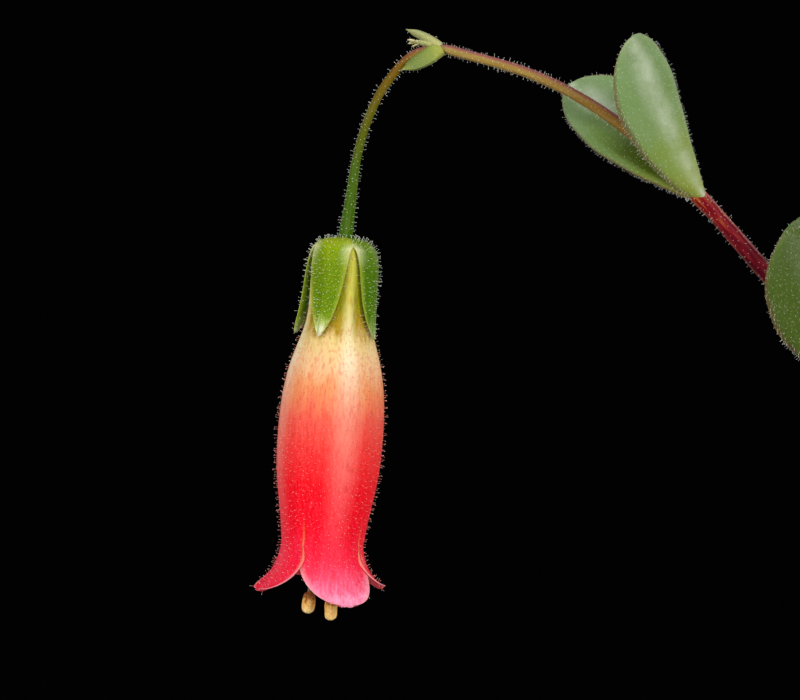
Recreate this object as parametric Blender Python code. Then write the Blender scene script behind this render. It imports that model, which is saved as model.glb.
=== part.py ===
"""A potted kalanchoe with hanging, tubular, four-petalled flowers.

The plant stands in the soil of a plain clay pot. Every stem is one solid with its leaves, flower
stalks and green calyxes. Each flower has a corolla and, inside it, a pistil with its stamens.
The pot's base is centred on the origin and the first flowering stem leans to -X in the plane y = 0.
"""

import math
import random
from dataclasses import dataclass, field

import bmesh
import bpy
import numpy as np
from mathutils import Euler, Matrix, Vector
from mathutils.bvhtree import BVHTree

MM = 0.001
GAP = 0.3 * MM              # clearance between solids that touch on the real plant
SEED = 41
UP = Vector((0.0, 0.0, 1.0))

# Pot
POT_HEIGHT = 93 * MM
POT_RADIUS = 54 * MM        # outside of the rim, at the top
POT_FOOT_RADIUS = 35 * MM
RIM_HEIGHT = 21 * MM
RIM_STEP = 4 * MM           # how far the rim band stands out of the body
POT_WALL = 5 * MM
POT_FLOOR = 6 * MM
POT_EDGE = 1.5 * MM
POT_SIDES = 28
DRAIN_HOLES = 4
DRAIN_RING = 20 * MM
DRAIN_RADIUS = 4 * MM

# Soil
SOIL_EDGE_Z = 82 * MM
SOIL_CROWN_Z = 86 * MM
FOOT_DEPTH = 9 * MM         # how deep a stem stands in the soil

# Stems
STEM_SIDES = 5
STALK_SIDES = 4
STEM_FOOT_RADIUS = 1.29 * MM
FLOWER_TIP_RADIUS = 0.5 * MM    # of a stem that ends in flower stalks
LEAFY_TIP_RADIUS = 0.6 * MM
RING_STEP = 11 * MM
STEM_SWAY = 9               # degrees by which a stem strays to each side as it grows
STALK_RADIUS = 0.34 * MM
STALK_FLARE = 0.6 * MM      # radius of a flower stalk where it meets the calyx
STALK_BANDS = 7
STALK_SPACING = 0.7 * MM    # between the roots of the flower stalks at a stem's tip
STALK_LENGTHS = (19 * MM, 23 * MM)
STALK_FORK = 48             # degrees by which each of two stalks turns from its stem's direction
STALK_LIFT = 28             # degrees by which a stalk starts out steeper than its stem ends
STALK_DROP = -86            # rise of a stalk's end, in degrees
LOBE_FLARES = (35, 75)      # degrees by which petal lobes turn out
LOBE_LENGTHS = (3.6 * MM, 4.3 * MM)

# Leaves
LEAF_FOOT = 0.42 * MM       # half width of a leaf's foot
LEAF_THICKNESS = 1.3 * MM
EDGE_LIFT = 0.5             # where the edges lie between the back and the face
LEAF_CUP = 0.1              # how far the edges rise towards the face, per half width
SLIM_LEAF = 0.42            # width for each unit of length of the smallest leaf
LEAF_BROADENING = 8.0       # how much that share grows for each metre of leaf length
LEAF_BOW = 0.045            # how far the middle bows towards the face, per length
LEAF_RINGS = (0.0, 0.3, 0.62, 0.88, 1.0)
BRACT_RINGS = (0.0, 0.55, 1.0)
BRACT_LENGTH = 3.3 * MM     # a leaf no longer than this is a bract, with fewer rings
BLADE_START = 0.28          # share of a leaf's length where it is clear of its own stem
LEAF_MARGIN = 0.45 * MM     # free space that every leaf keeps round itself
LEAF_SPACING = 21 * MM      # between leaf pairs along a stem
FIRST_PAIR = 11 * MM        # height of the lowest pair above the soil, along the stem
FLOWER_BARE_TIP = 11 * MM   # stem without leaves below the flower stalks
LEAFY_BARE_TIP = 0.5 * MM
LONGEST_LEAF = 28 * MM
FLOWER_LEAF_LOSS = 11 * MM  # how much shorter the top pair is than the lowest
LEAFY_LEAF_LOSS = 13 * MM
LEAF_LOSS_POWER = 1.4
LEAF_ROLL = 0.2             # radians by which a leaf strays round the stem
LEAF_SPLAY = (48, 62)       # degrees from the stem's direction
LEAF_SIZES = (0.92, 1.06)
LEAF_RISE = 0.22            # how far leaves turn up
FACE_RISE = 0.8             # how far their faces do
STEM_TURN = 0.4             # radians by which each stem's leaf pairs are rolled from the last stem's

# Flower, measured along its axis from the calyx's base
CALYX_WALL = 0.6 * MM
CALYX_TIP = 6.4 * MM
CALYX_SINUS = 2.3 * MM
PETAL_WALL = 0.6 * MM
THROAT = 20.6 * MM
THROAT_RADIUS = 2.76 * MM
LOBE_HALF_WIDTH = 2.35 * MM
PISTIL_TOP = 3.0 * MM
PISTIL_END = 22.0 * MM
ANTHER_AT = 24.3 * MM
ANTHER_RADIUS = 0.48 * MM
FLOWER_REACH = 26.5 * MM    # calyx base to anther tips, with a little to spare
FLOWER_CLEAR = 5.3 * MM     # radius that a flower needs round its axis

# Photographed stem, in millimetres: x and z of hand-chosen points in the plane y = 0
HERO_STEM = (
    (-10.0, 86.6), (-12.2, 92.0), (-19.5, 102.2), (-34.0, 119.6), (-50.0, 139.6),
    (-64.8, 157.7), (-73.2, 167.0), (-77.7, 172.05), (-82.9, 176.8), (-88.3, 179.95), (-95.0, 182.0),
)
HERO_STALK = (
    (-95.0, 182.0), (-96.9, 181.45), (-98.6, 179.6), (-99.75, 177.4), (-100.55, 174.8),
    (-100.95, 172.2), (-101.38, 169.25),
)
HERO_NODE_2 = Vector((-77.7, 0.0, 172.05)) * MM
HERO_NODE_3 = Vector((-64.8, 0.0, 157.7)) * MM
HERO_AXIS = Vector((-0.075, 0.0, -0.997)).normalized()
HERO_FRONT = -72.0          # direction of the front petal, in degrees from +X
HERO_BARE_TIP = 64 * MM     # end of the stem whose leaves are placed by hand
# How far each lobe turns out, in degrees, and its length
HERO_FLARES = ((27, 3.85 * MM), (50, 3.65 * MM), (78, 3.3 * MM), (58, 3.15 * MM))
# Distance from the stem's tip and radius there, in millimetres
HERO_GIRTH = ((0.0, 0.31), (11.7, 0.36), (23.7, 0.54), (40.0, 0.75), (140.0, 1.4))
# Node, and offset to the tip and width in millimetres, of each photographed leaf
HERO_LEAVES = (
    (HERO_NODE_2, Vector((-4.8, -5.6, 10.5)), 5.3),
    (HERO_NODE_2, Vector((-8.46, 4.3, 7.55)), 5.5),
    (HERO_NODE_3, Vector((-7.6, -9.0, 12.0)), 7.2),
    (HERO_NODE_3, Vector((-5.7, 6.6, 12.6)), 8.6),
)
LOW_BRACT = Vector((-2.6, -0.4, -1.5)) * MM
LOW_BRACT_WIDTH = 1.5 * MM
HIGH_BRACT = Vector((-2.3, 0.3, 1.2)) * MM
HIGH_BRACT_WIDTH = 1.3 * MM


@dataclass(frozen=True)
class Leaf:
    """A fleshy obovate leaf. The root lies on the stem's axis and the face looks to the stem's tip."""

    root: Vector
    along: Vector
    face: Vector
    length: float
    width: float


@dataclass(frozen=True)
class Flower:
    """A hanging flower: base of its calyx, its axis, the first petal's direction and four flares."""

    base: Vector
    axis: Vector
    front: Vector
    flares: tuple


@dataclass(frozen=True)
class Shoot:
    """What sets one stem's growth: it leaves the soil upright and bends over towards its azimuth."""

    name: str
    azimuth: float          # degrees from +X
    foot: float             # distance of its foot from the pot's axis, in metres
    length: float
    end_rise: float         # degrees above level at the tip
    bending: float          # below 1 it bends over early, above 1 late
    flowers: int = 0


@dataclass
class Stem:
    """One stem with all that grows on it."""

    name: str
    route: list
    radii: list
    stalks: list = field(default_factory=list)
    flowers: list = field(default_factory=list)
    leaves: list = field(default_factory=list)


SHOOTS = (
    Shoot("flower_stem_2", 12, 16 * MM, 122 * MM, 4, 1.25, flowers=2),
    Shoot("flower_stem_3", 52, 18 * MM, 128 * MM, 12, 1.3, flowers=2),
    Shoot("flower_stem_4", 98, 19 * MM, 112 * MM, -4, 0.95, flowers=2),
    Shoot("flower_stem_5", 150, 24 * MM, 84 * MM, -22, 0.75, flowers=1),
    Shoot("flower_stem_6", 214, 24 * MM, 82 * MM, -24, 0.75, flowers=1),
    Shoot("flower_stem_7", 268, 20 * MM, 104 * MM, -8, 0.9, flowers=2),
    Shoot("flower_stem_8", 318, 18 * MM, 118 * MM, 2, 1.1, flowers=2),
    Shoot("leaf_shoot_1", 32, 30 * MM, 72 * MM, 25, 0.8),
    Shoot("leaf_shoot_2", 76, 4 * MM, 80 * MM, 60, 1.0),
    Shoot("leaf_shoot_3", 126, 27 * MM, 62 * MM, 14, 0.8),
    Shoot("leaf_shoot_4", 182, 31 * MM, 48 * MM, -4, 0.7),
    Shoot("leaf_shoot_5", 240, 29 * MM, 60 * MM, 10, 0.8),
    Shoot("leaf_shoot_6", 292, 30 * MM, 70 * MM, 22, 0.8),
    Shoot("leaf_shoot_7", 345, 31 * MM, 66 * MM, 14, 0.75),
)


# Helpers

def clear_scene():
    """Remove whatever the scene holds."""
    for obj in list(bpy.data.objects):
        bpy.data.objects.remove(obj, do_unlink=True)


def material(name, colour, roughness):
    """A Principled material, or the one of that name."""
    made = bpy.data.materials.get(name)
    if made is None:
        made = bpy.data.materials.new(name)
        made.use_nodes = True
        shader = made.node_tree.nodes["Principled BSDF"]
        shader.inputs["Base Color"].default_value = (*colour, 1.0)
        shader.inputs["Roughness"].default_value = roughness
        shader.inputs["Metallic"].default_value = 0.0
    return made


def clay():
    """Unglazed red clay."""
    return material("unglazed_clay", (0.46, 0.17, 0.075), 0.9)


def potting_soil():
    """Dark, slightly moist potting soil."""
    return material("potting_soil", (0.035, 0.02, 0.012), 0.95)


def foliage():
    """Green, fleshy leaf and stem."""
    return material("foliage", (0.12, 0.22, 0.05), 0.5)


def petals():
    """Coral-red petals."""
    return material("petals", (0.88, 0.06, 0.06), 0.45)


def pollen():
    """Tan anthers and pale pistil."""
    return material("anthers", (0.62, 0.33, 0.12), 0.7)


def add_object(name, mesh, surface, smooth_angle=None):
    """Put a mesh into the scene as one named object."""
    obj = bpy.data.objects.new(name, mesh)
    bpy.context.scene.collection.objects.link(obj)
    if surface is not None:
        mesh.materials.clear()
        mesh.materials.append(surface)
    if smooth_angle is not None:
        mesh.shade_smooth()
        mesh.set_sharp_from_angle(angle=math.radians(smooth_angle))
    return obj


def mesh_from(bm, name):
    """Turn a bmesh into a mesh, with its faces pointing out."""
    bmesh.ops.recalc_face_normals(bm, faces=bm.faces)
    mesh = bpy.data.meshes.new(name)
    bm.to_mesh(mesh)
    bm.free()
    return mesh


def combine(obj, others, operation):
    """Join the others to the object, or cut them from it, in one Boolean on a collection."""
    group = bpy.data.collections.new("operands")
    for other in others:
        group.objects.link(other)
    modifier = obj.modifiers.new("combine", "BOOLEAN")
    modifier.operand_type = "COLLECTION"
    modifier.collection = group
    modifier.operation = operation
    modifier.solver = "EXACT"
    bpy.context.view_layer.update()
    depsgraph = bpy.context.evaluated_depsgraph_get()
    result = bpy.data.meshes.new_from_object(obj.evaluated_get(depsgraph))
    obj.modifiers.clear()
    obj.data = result
    for other in others:
        bpy.data.objects.remove(other, do_unlink=True)
    bpy.data.collections.remove(group)


def sleeve(bands, columns, top=True, bottom=True):
    """A closed tube of radius 1 with z from 0 to 1, in bands, to be bent into shape."""
    bm = bmesh.new()
    bmesh.ops.create_cone(bm, cap_ends=True, cap_tris=False, segments=columns,
                          radius1=1, radius2=1, depth=1)
    bmesh.ops.translate(bm, verts=bm.verts, vec=(0, 0, 0.5))
    upright = [e for e in bm.edges if abs(e.verts[0].co.z - e.verts[1].co.z) > 0.5]
    if bands > 1:
        bmesh.ops.subdivide_edges(bm, edges=upright, cuts=bands - 1, use_grid_fill=True)
    spare = [f for f in bm.faces
             if (not top and f.normal.z > 0.9) or (not bottom and f.normal.z < -0.9)]
    bmesh.ops.delete(bm, geom=spare, context="FACES_ONLY")
    return bm


def band_and_angle(vert, bands):
    """Which ring of a sleeve a vertex belongs to, and its angle round the axis."""
    return round(vert.co.z * bands), math.atan2(vert.co.y, vert.co.x)


def smooth_route(points, step):
    """Points about a step apart on a smooth curve through the given points."""
    ends = [points[0] * 2 - points[1]] + list(points) + [points[-1] * 2 - points[-2]]
    route = [points[0]]
    for index in range(1, len(ends) - 2):
        before, start, end, after = ends[index - 1:index + 3]
        count = max(1, round((end - start).length / step))
        for part in range(1, count + 1):
            t = part / count
            route.append(0.5 * (2 * start + (end - before) * t
                                + (2 * before - 5 * start + 4 * end - after) * t ** 2
                                + (3 * start - before - 3 * end + after) * t ** 3))
    return route


def route_frames(route):
    """Two directions across the route at each of its points, carried along it without twist."""
    tangents = []
    for index in range(len(route)):
        ahead = route[min(index + 1, len(route) - 1)]
        behind = route[max(index - 1, 0)]
        tangents.append((ahead - behind).normalized())
    side = tangents[0].orthogonal().normalized()
    frames = []
    for tangent in tangents:
        side = (side - tangent * side.dot(tangent)).normalized()
        frames.append((side, tangent.cross(side)))
    return frames


def route_point(route, distance):
    """The point and the direction at a distance along a route."""
    left = distance
    for start, end in zip(route, route[1:]):
        length = (end - start).length
        if left <= length:
            return start.lerp(end, left / length), (end - start).normalized()
        left -= length
    return route[-1].copy(), (route[-1] - route[-2]).normalized()


def route_length(route):
    """Length of a route."""
    return sum((end - start).length for start, end in zip(route, route[1:]))


def tube(route, radii, sides):
    """A tube along a route with a radius at each point."""
    bands = len(route) - 1
    bm = sleeve(bands, sides)
    frames = route_frames(route)
    for vert in bm.verts:
        ring, angle = band_and_angle(vert, bands)
        across, over = frames[ring]
        vert.co = route[ring] + (across * math.cos(angle) + over * math.sin(angle)) * radii[ring]
    return mesh_from(bm, "tube")


def bvh(mesh):
    """A mesh as a tree that can be tested for crossings."""
    points = [vert.co for vert in mesh.vertices]
    return BVHTree.FromPolygons(points, [tuple(face.vertices) for face in mesh.polygons])


# Pot and soil

def inner_radius(z):
    """Radius of the pot's inside at a height."""
    low = POT_FOOT_RADIUS - POT_WALL
    high = POT_RADIUS - POT_WALL
    return low + (high - low) * (z - POT_FLOOR) / (POT_HEIGHT - POT_FLOOR)


def soil_height(radius):
    """Height of the soil's crowned surface at a distance from the pot's axis."""
    share = radius / inner_radius(SOIL_EDGE_Z)
    return SOIL_CROWN_Z - (SOIL_CROWN_Z - SOIL_EDGE_Z) * share ** 2


def turned(profile, name):
    """Spin a profile of radius and height about the pot's axis."""
    bm = bmesh.new()
    verts = [bm.verts.new((radius, 0.0, z)) for radius, z in profile]
    edges = [bm.edges.new(pair) for pair in zip(verts, verts[1:])]
    bmesh.ops.spin(bm, geom=verts + edges, cent=(0, 0, 0), axis=(0, 0, 1), dvec=(0, 0, 0),
                   angle=2 * math.pi, steps=POT_SIDES, use_merge=True)
    bmesh.ops.remove_doubles(bm, verts=bm.verts, dist=1e-6)
    return mesh_from(bm, name)


def upright_cutter(x, y, low, high, radius, sides):
    """A round cutter that stands upright."""
    bm = bmesh.new()
    bmesh.ops.create_cone(bm, cap_ends=True, segments=sides, radius1=radius, radius2=radius,
                          depth=high - low)
    bmesh.ops.translate(bm, verts=bm.verts, vec=(x, y, (low + high) / 2))
    return add_object("cutter", mesh_from(bm, "cutter"), None)


def make_pot():
    """The clay pot: a tapered body, a band round the rim, and drain holes beside its centre."""
    band_low = POT_HEIGHT - RIM_HEIGHT
    body_top = POT_RADIUS - RIM_STEP - 1 * MM
    profile = (
        (0.0, 0.0),
        (POT_FOOT_RADIUS - POT_EDGE, 0.0),
        (POT_FOOT_RADIUS, POT_EDGE),
        (body_top, band_low),
        (POT_RADIUS - 1 * MM, band_low + POT_EDGE),
        (POT_RADIUS, POT_HEIGHT - POT_EDGE),
        (POT_RADIUS - POT_EDGE, POT_HEIGHT),
        (inner_radius(POT_HEIGHT), POT_HEIGHT),
        (inner_radius(POT_FLOOR), POT_FLOOR),
        (0.0, POT_FLOOR),
    )
    pot = add_object("pot", turned(profile, "pot"), None)
    holes = []
    for index in range(DRAIN_HOLES):
        angle = 2 * math.pi * (index + 0.5) / DRAIN_HOLES
        holes.append(upright_cutter(DRAIN_RING * math.cos(angle), DRAIN_RING * math.sin(angle),
                                    -MM, POT_FLOOR + MM, DRAIN_RADIUS, 10))
    combine(pot, holes, "DIFFERENCE")
    pot.data.materials.clear()
    pot.data.materials.append(clay())
    pot.data.shade_smooth()
    pot.data.set_sharp_from_angle(angle=math.radians(35))
    return pot


def make_soil(stems):
    """The soil: a plug that fills the pot, with a plain hole for each stem."""
    low = POT_FLOOR + GAP
    profile = (
        (0.0, low),
        (inner_radius(low) - GAP, low),
        (inner_radius(SOIL_EDGE_Z) - GAP, SOIL_EDGE_Z),
        (0.6 * inner_radius(SOIL_EDGE_Z), soil_height(0.6 * inner_radius(SOIL_EDGE_Z))),
        (0.0, SOIL_CROWN_Z),
    )
    soil = add_object("soil", turned(profile, "soil"), None)
    holes = []
    for stem in stems:
        foot = stem.route[0]
        holes.append(upright_cutter(foot.x, foot.y, foot.z - GAP, POT_HEIGHT,
                                    stem.radii[0] * 1.08 + GAP, 6))
    combine(soil, holes, "DIFFERENCE")
    soil.data.materials.clear()
    soil.data.materials.append(potting_soil())
    return soil


# Leaves

def leaf_half_width(leaf, share):
    """Half the blade's width at a share of its length: a narrow foot and a broad rounded tip."""
    blade = math.sqrt(abs(math.sin(math.pi * share ** 1.55)))
    return 0.5 * leaf.width * blade + LEAF_FOOT * (1 - share) ** 3


def leaf_half_thickness(share):
    """Half the leaf's thickness at a share of its length."""
    return 0.5 * LEAF_THICKNESS * (1 - 0.75 * share ** 3)


def leaf_point(leaf, share, across, over, margin=0.0):
    """A point of a leaf: how far along, across from edge to edge, and over from back to face."""
    side = leaf.along.cross(leaf.face)
    wide = leaf_half_width(leaf, share) + margin
    thick = leaf_half_thickness(share) + margin
    centre = (leaf.root + leaf.along * ((leaf.length + margin) * share)
              + leaf.face * (4 * LEAF_BOW * leaf.length * share * (1 - share)))
    return centre + side * (wide * across) + leaf.face * (LEAF_CUP * wide * abs(across) + thick * over)


def leaf_mesh(leaf, start=0.0):
    """A leaf as a closed solid with a flat face and a keeled back, from a share of its length on."""
    rings = LEAF_RINGS if leaf.length > BRACT_LENGTH else BRACT_RINGS
    bands = len(rings) - 1
    bm = sleeve(bands, 3)
    tip = []
    for vert in bm.verts:
        ring, angle = band_and_angle(vert, bands)
        keel = abs(math.cos(angle)) < 0.1
        across = 0.0 if keel else math.copysign(1.0, math.cos(angle))
        vert.co = leaf_point(leaf, max(rings[ring], start), across, -1.0 if keel else EDGE_LIFT)
        if ring == bands:
            tip.append(vert)
    centre = sum((vert.co for vert in tip), Vector()) / len(tip)
    bmesh.ops.pointmerge(bm, verts=tip, merge_co=centre)
    bmesh.ops.triangulate(bm, faces=bm.faces, quad_method="SHORT_EDGE")
    return mesh_from(bm, "leaf")


def leaf_cage(leaf, start=0.0):
    """A box-shaped cage that keeps a margin round a leaf, from a share of its length on."""
    bands = len(LEAF_RINGS) - 1
    bm = sleeve(bands, 4)
    corners = ((1, 1), (-1, 1), (-1, -1), (1, -1))
    for vert in bm.verts:
        ring, angle = band_and_angle(vert, bands)
        across, over = corners[round(angle / (math.pi / 2)) % 4]
        vert.co = leaf_point(leaf, max(LEAF_RINGS[ring], start), across, over, LEAF_MARGIN)
    return mesh_from(bm, "cage")


def natural_leaf(root, offset, tangent, width, lift=0.0):
    """A leaf that reaches from the stem's axis by an offset, and faces the stem's tip."""
    along = offset.normalized()
    aim = tangent + UP * lift
    face = (aim - along * aim.dot(along)).normalized()
    return Leaf(root, along, face, offset.length, width)


class Crowd:
    """What has grown so far, for keeping new leaves clear of it."""

    def __init__(self, fixed):
        self.grown = [(None, tree, tree) for tree in fixed]

    def add(self, owner, mesh, blade=None):
        """Remember a solid and its owner."""
        whole = bvh(mesh)
        self.grown.append((owner, whole, bvh(blade) if blade else whole))

    def free(self, owner, leaf):
        """Whether a leaf keeps clear of everything but its own stem's foot of it."""
        cage = bvh(leaf_cage(leaf))
        blade = bvh(leaf_cage(leaf, BLADE_START))
        for other, whole, part in self.grown:
            if other == owner:
                if blade.overlap(part):
                    return False
            elif cage.overlap(whole):
                return False
        return True


# Roll, splay and size tried in turn until a leaf is clear of its neighbours
LEAF_TRIES = (
    (0, 0, 1.0), (14, 0, 1.0), (-14, 0, 1.0), (0, 14, 0.95), (28, -10, 0.95), (-28, -10, 0.95),
    (0, -16, 0.9), (40, 10, 0.85), (-40, 10, 0.85), (20, 22, 0.8), (-20, 22, 0.8), (0, 0, 0.7),
    (55, 0, 0.75), (-55, 0, 0.75), (0, -24, 0.65), (30, -24, 0.6), (-30, -24, 0.6),
)


def rolled_leaf(point, tangent, roll, splay, length):
    """A leaf at a stem's node, rolled about the stem and splayed away from it."""
    across = tangent.cross(UP)
    across = across.normalized() if across.length > 0.05 else Vector((1.0, 0.0, 0.0))
    over = across.cross(tangent)
    outward = across * math.cos(roll) + over * math.sin(roll)
    along = tangent * math.cos(splay) + outward * math.sin(splay) + UP * LEAF_RISE
    width = (SLIM_LEAF + LEAF_BROADENING * length) * length
    return natural_leaf(point, along.normalized() * length, tangent, width, FACE_RISE)


def grow_pair(stem, crowd, distance, roll, length, rng):
    """An opposite pair of leaves at a distance along a stem, each turned until it is clear."""
    point, tangent = route_point(stem.route, distance)
    for half in range(2):
        turn = roll + math.pi * half + rng.uniform(-LEAF_ROLL, LEAF_ROLL)
        splay = math.radians(rng.uniform(*LEAF_SPLAY))
        size = length * rng.uniform(*LEAF_SIZES)
        for more_roll, more_splay, scale in LEAF_TRIES:
            leaf = rolled_leaf(point, tangent, turn + math.radians(more_roll),
                               splay + math.radians(more_splay), size * scale)
            if crowd.free(stem.name, leaf):
                stem.leaves.append(leaf)
                crowd.add(stem.name, leaf_mesh(leaf), leaf_mesh(leaf, BLADE_START))
                break


# Flowers

def flower_matrix(flower):
    """Place of a flower: local +Z runs down its axis and local +X to its first petal."""
    across = (flower.front - flower.axis * flower.front.dot(flower.axis)).normalized()
    matrix = Matrix((across, flower.axis.cross(across), flower.axis)).transposed().to_4x4()
    matrix.translation = flower.base
    return matrix


def lobe_half_width(share):
    """Half a petal lobe's width: widest before its middle, with a rounded end."""
    joined = THROAT_RADIUS * math.sin(math.pi / 4)
    if share < 0.42:
        return joined + (LOBE_HALF_WIDTH - joined) * math.sin(math.pi / 2 * share / 0.42)
    return LOBE_HALF_WIDTH * math.sqrt(max(0.04, 1 - ((share - 0.42) / 0.6) ** 2))


def lobe_point(share, sideways, flare, length):
    """A point of a petal lobe in its own petal's frame: outward, sideways and down."""
    outward = THROAT_RADIUS + length * (1 - math.cos(flare * share)) / flare
    down = THROAT + length * math.sin(flare * share) / flare
    round_radius = THROAT_RADIUS + 2.2 * MM * share
    spread = math.asin(min(0.95, lobe_half_width(share) / round_radius)) * sideways
    tip_bow = 0.25 * MM * share ** 3 * (1 - sideways ** 2)
    return Vector((outward - round_radius * (1 - math.cos(spread)),
                   round_radius * math.sin(spread), down + tip_bow))


def corolla_mesh(flower, rings, lobe_rings, per_petal):
    """The petal tube, open below, with four flared lobes cut apart by slits."""
    tube_bands = len(rings) - 1
    bands = tube_bands + len(lobe_rings)
    bm = sleeve(bands, 4 * per_petal, top=True, bottom=False)
    slits = []
    for edge in bm.edges:
        places = [band_and_angle(vert, bands) for vert in edge.verts]
        low = all(bands - ring >= tube_bands for ring, _ in places)
        seam = all(abs(math.cos(2 * angle)) < 0.01 for _, angle in places)
        if low and seam and places[0][0] != places[1][0]:
            slits.append(edge)
    bmesh.ops.split_edges(bm, edges=slits)
    petal_of = {}
    for vert in bm.verts:
        sides = [face for face in vert.link_faces if abs(face.normal.z) < 0.5]
        centre = sides[0].calc_center_median()
        petal_of[vert] = round(math.atan2(centre.y, centre.x) / (math.pi / 2)) % 4
    for vert in bm.verts:
        ring, angle = band_and_angle(vert, bands)
        row = bands - ring
        petal = petal_of[vert]
        if row <= tube_bands:
            down, radius = rings[row]
            point = Vector((radius * math.cos(angle), radius * math.sin(angle), down))
        else:
            offset = math.remainder(angle - petal * math.pi / 2, 2 * math.pi)
            flare, length = flower.flares[petal]
            point = lobe_point(lobe_rings[row - tube_bands - 1], offset / (math.pi / 4),
                               math.radians(flare), length)
            point.rotate(Euler((0.0, 0.0, petal * math.pi / 2)))
        vert.co = point
    return mesh_from(bm, "corolla")


def point_out(mesh, centre_z):
    """Turn an open shell's faces away from its axis."""
    face = max(mesh.polygons, key=lambda f: -abs(f.center.z - centre_z))
    outward = Vector((face.center.x, face.center.y, 0.0))
    if face.normal.dot(outward) < 0:
        mesh.flip_normals()


def make_corolla(name, flower, rings, lobe_rings, per_petal):
    """One flower's corolla: a thin shell of even thickness."""
    mesh = corolla_mesh(flower, rings, lobe_rings, per_petal)
    point_out(mesh, 12 * MM)
    corolla = add_object(name, mesh, petals(), 50)
    corolla.matrix_world = flower_matrix(flower)
    wall = corolla.modifiers.new("wall", "SOLIDIFY")
    wall.thickness = PETAL_WALL
    wall.offset = -1
    return corolla


def make_stamens(name, flower, anthers):
    """The pistil in the corolla's middle, with stamens that end in anthers below the throat."""
    rings = ((PISTIL_TOP, 0.1 * MM), (7 * MM, 0.9 * MM), (PISTIL_END, 0.5 * MM))
    route = [Vector((0.0, 0.0, down)) for down, _ in rings]
    core = add_object(name, tube(route, [radius for _, radius in rings], 4), None)
    parts = []
    for index in range(anthers):
        angle = 2 * math.pi * (index + 0.5) / anthers
        outward = Vector((math.cos(angle), math.sin(angle), 0.0))
        drop = ANTHER_AT - (0.9 * MM if index % 2 and anthers > 4 else 0.0)
        spine = [outward * 0.1 * MM + Vector((0, 0, 15 * MM)),
                 outward * 1.35 * MM + Vector((0, 0, drop)),
                 outward * 1.45 * MM + Vector((0, 0, drop + 0.9 * MM))]
        mesh = tube(spine, [0.12 * MM, ANTHER_RADIUS, 0.12 * MM], 3)
        parts.append(add_object("stamen", mesh, None))
    combine(core, parts, "UNION")
    core.data.materials.clear()
    core.data.materials.append(pollen())
    core.matrix_world = flower_matrix(flower)
    return core


def calyx_object(flower, rows):
    """A green cup with four pointed sepals between the petals, as a closed shell."""
    bands = len(rows) - 1
    bm = sleeve(bands, 8, top=True, bottom=False)
    slits = []
    for edge in bm.edges:
        places = [band_and_angle(vert, bands) for vert in edge.verts]
        low = all(rows[bands - ring][0] >= CALYX_SINUS for ring, _ in places)
        seam = all(abs(math.cos(2 * angle)) < 0.01 for _, angle in places)
        if low and seam and places[0][0] != places[1][0]:
            slits.append(edge)
    bmesh.ops.split_edges(bm, edges=slits)
    sepal_of = {}
    for vert in bm.verts:
        sides = [face for face in vert.link_faces if abs(face.normal.z) < 0.5]
        centre = sides[0].calc_center_median()
        sepal_of[vert] = round(math.atan2(centre.y, centre.x) / (math.pi / 2)) % 4
    for vert in bm.verts:
        ring, angle = band_and_angle(vert, bands)
        down, radius, spread = rows[bands - ring]
        middle = sepal_of[vert] * math.pi / 2
        offset = math.remainder(angle - middle, 2 * math.pi) * spread
        vert.co = Vector((radius * math.cos(middle + offset), radius * math.sin(middle + offset), down))
    bmesh.ops.remove_doubles(bm, verts=bm.verts, dist=1e-6)
    mesh = mesh_from(bm, "calyx")
    point_out(mesh, 2 * MM)
    calyx = add_object("calyx", mesh, None)
    calyx.matrix_world = flower_matrix(flower) @ Matrix.Rotation(math.pi / 4, 4, "Z")
    wall = calyx.modifiers.new("wall", "SOLIDIFY")
    wall.thickness = CALYX_WALL
    wall.offset = -1
    return calyx


# Distance down the axis, radius and share of a quarter turn, for each ring of a calyx
CALYX_ROWS = (
    (0.0, 0.6 * MM, 1.0), (0.8 * MM, 1.95 * MM, 1.0), (CALYX_SINUS, 2.4 * MM, 1.0),
    (CALYX_TIP, 3.0 * MM, 0.0),
)
HERO_CALYX_ROWS = CALYX_ROWS[:3] + ((4.4 * MM, 2.62 * MM, 0.74), CALYX_ROWS[3])

# Distance down the axis and radius for each ring of a corolla's tube
COROLLA_RINGS = (
    (1.0 * MM, 0.85 * MM), (6.4 * MM, 2.08 * MM), (9.5 * MM, 3.2 * MM),
    (15.0 * MM, 3.52 * MM), (THROAT, THROAT_RADIUS),
)
HERO_COROLLA_RINGS = (
    (1.0 * MM, 0.85 * MM), (6.4 * MM, 2.1 * MM), (7.8 * MM, 2.7 * MM),
    (9.8 * MM, 3.24 * MM), (12.5 * MM, 3.52 * MM), (15.5 * MM, 3.48 * MM), (18.2 * MM, 3.1 * MM),
    (THROAT, THROAT_RADIUS),
)
LOBE_RINGS = (0.5, 1.0)
HERO_LOBE_RINGS = (0.25, 0.5, 0.75, 1.0)


# Stems

def taper(route, foot, tip):
    """Radii that shrink evenly along a route."""
    total = route_length(route)
    radii = [foot]
    done = 0.0
    for start, end in zip(route, route[1:]):
        done += (end - start).length
        radii.append(foot + (tip - foot) * done / total)
    return radii


def stalk_radii(route):
    """A flower stalk's radii: slim, and flared over its last stretch into the calyx."""
    count = len(route)
    return [STALK_RADIUS + (STALK_FLARE - STALK_RADIUS) * max(0.0, (i / (count - 1) - 0.6) / 0.4) ** 2
            for i in range(count)]


def heading(azimuth, rise):
    """A direction from an azimuth and a rise above level, in degrees."""
    flat = math.cos(math.radians(rise))
    return Vector((flat * math.cos(math.radians(azimuth)), flat * math.sin(math.radians(azimuth)),
                   math.sin(math.radians(rise))))


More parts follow.
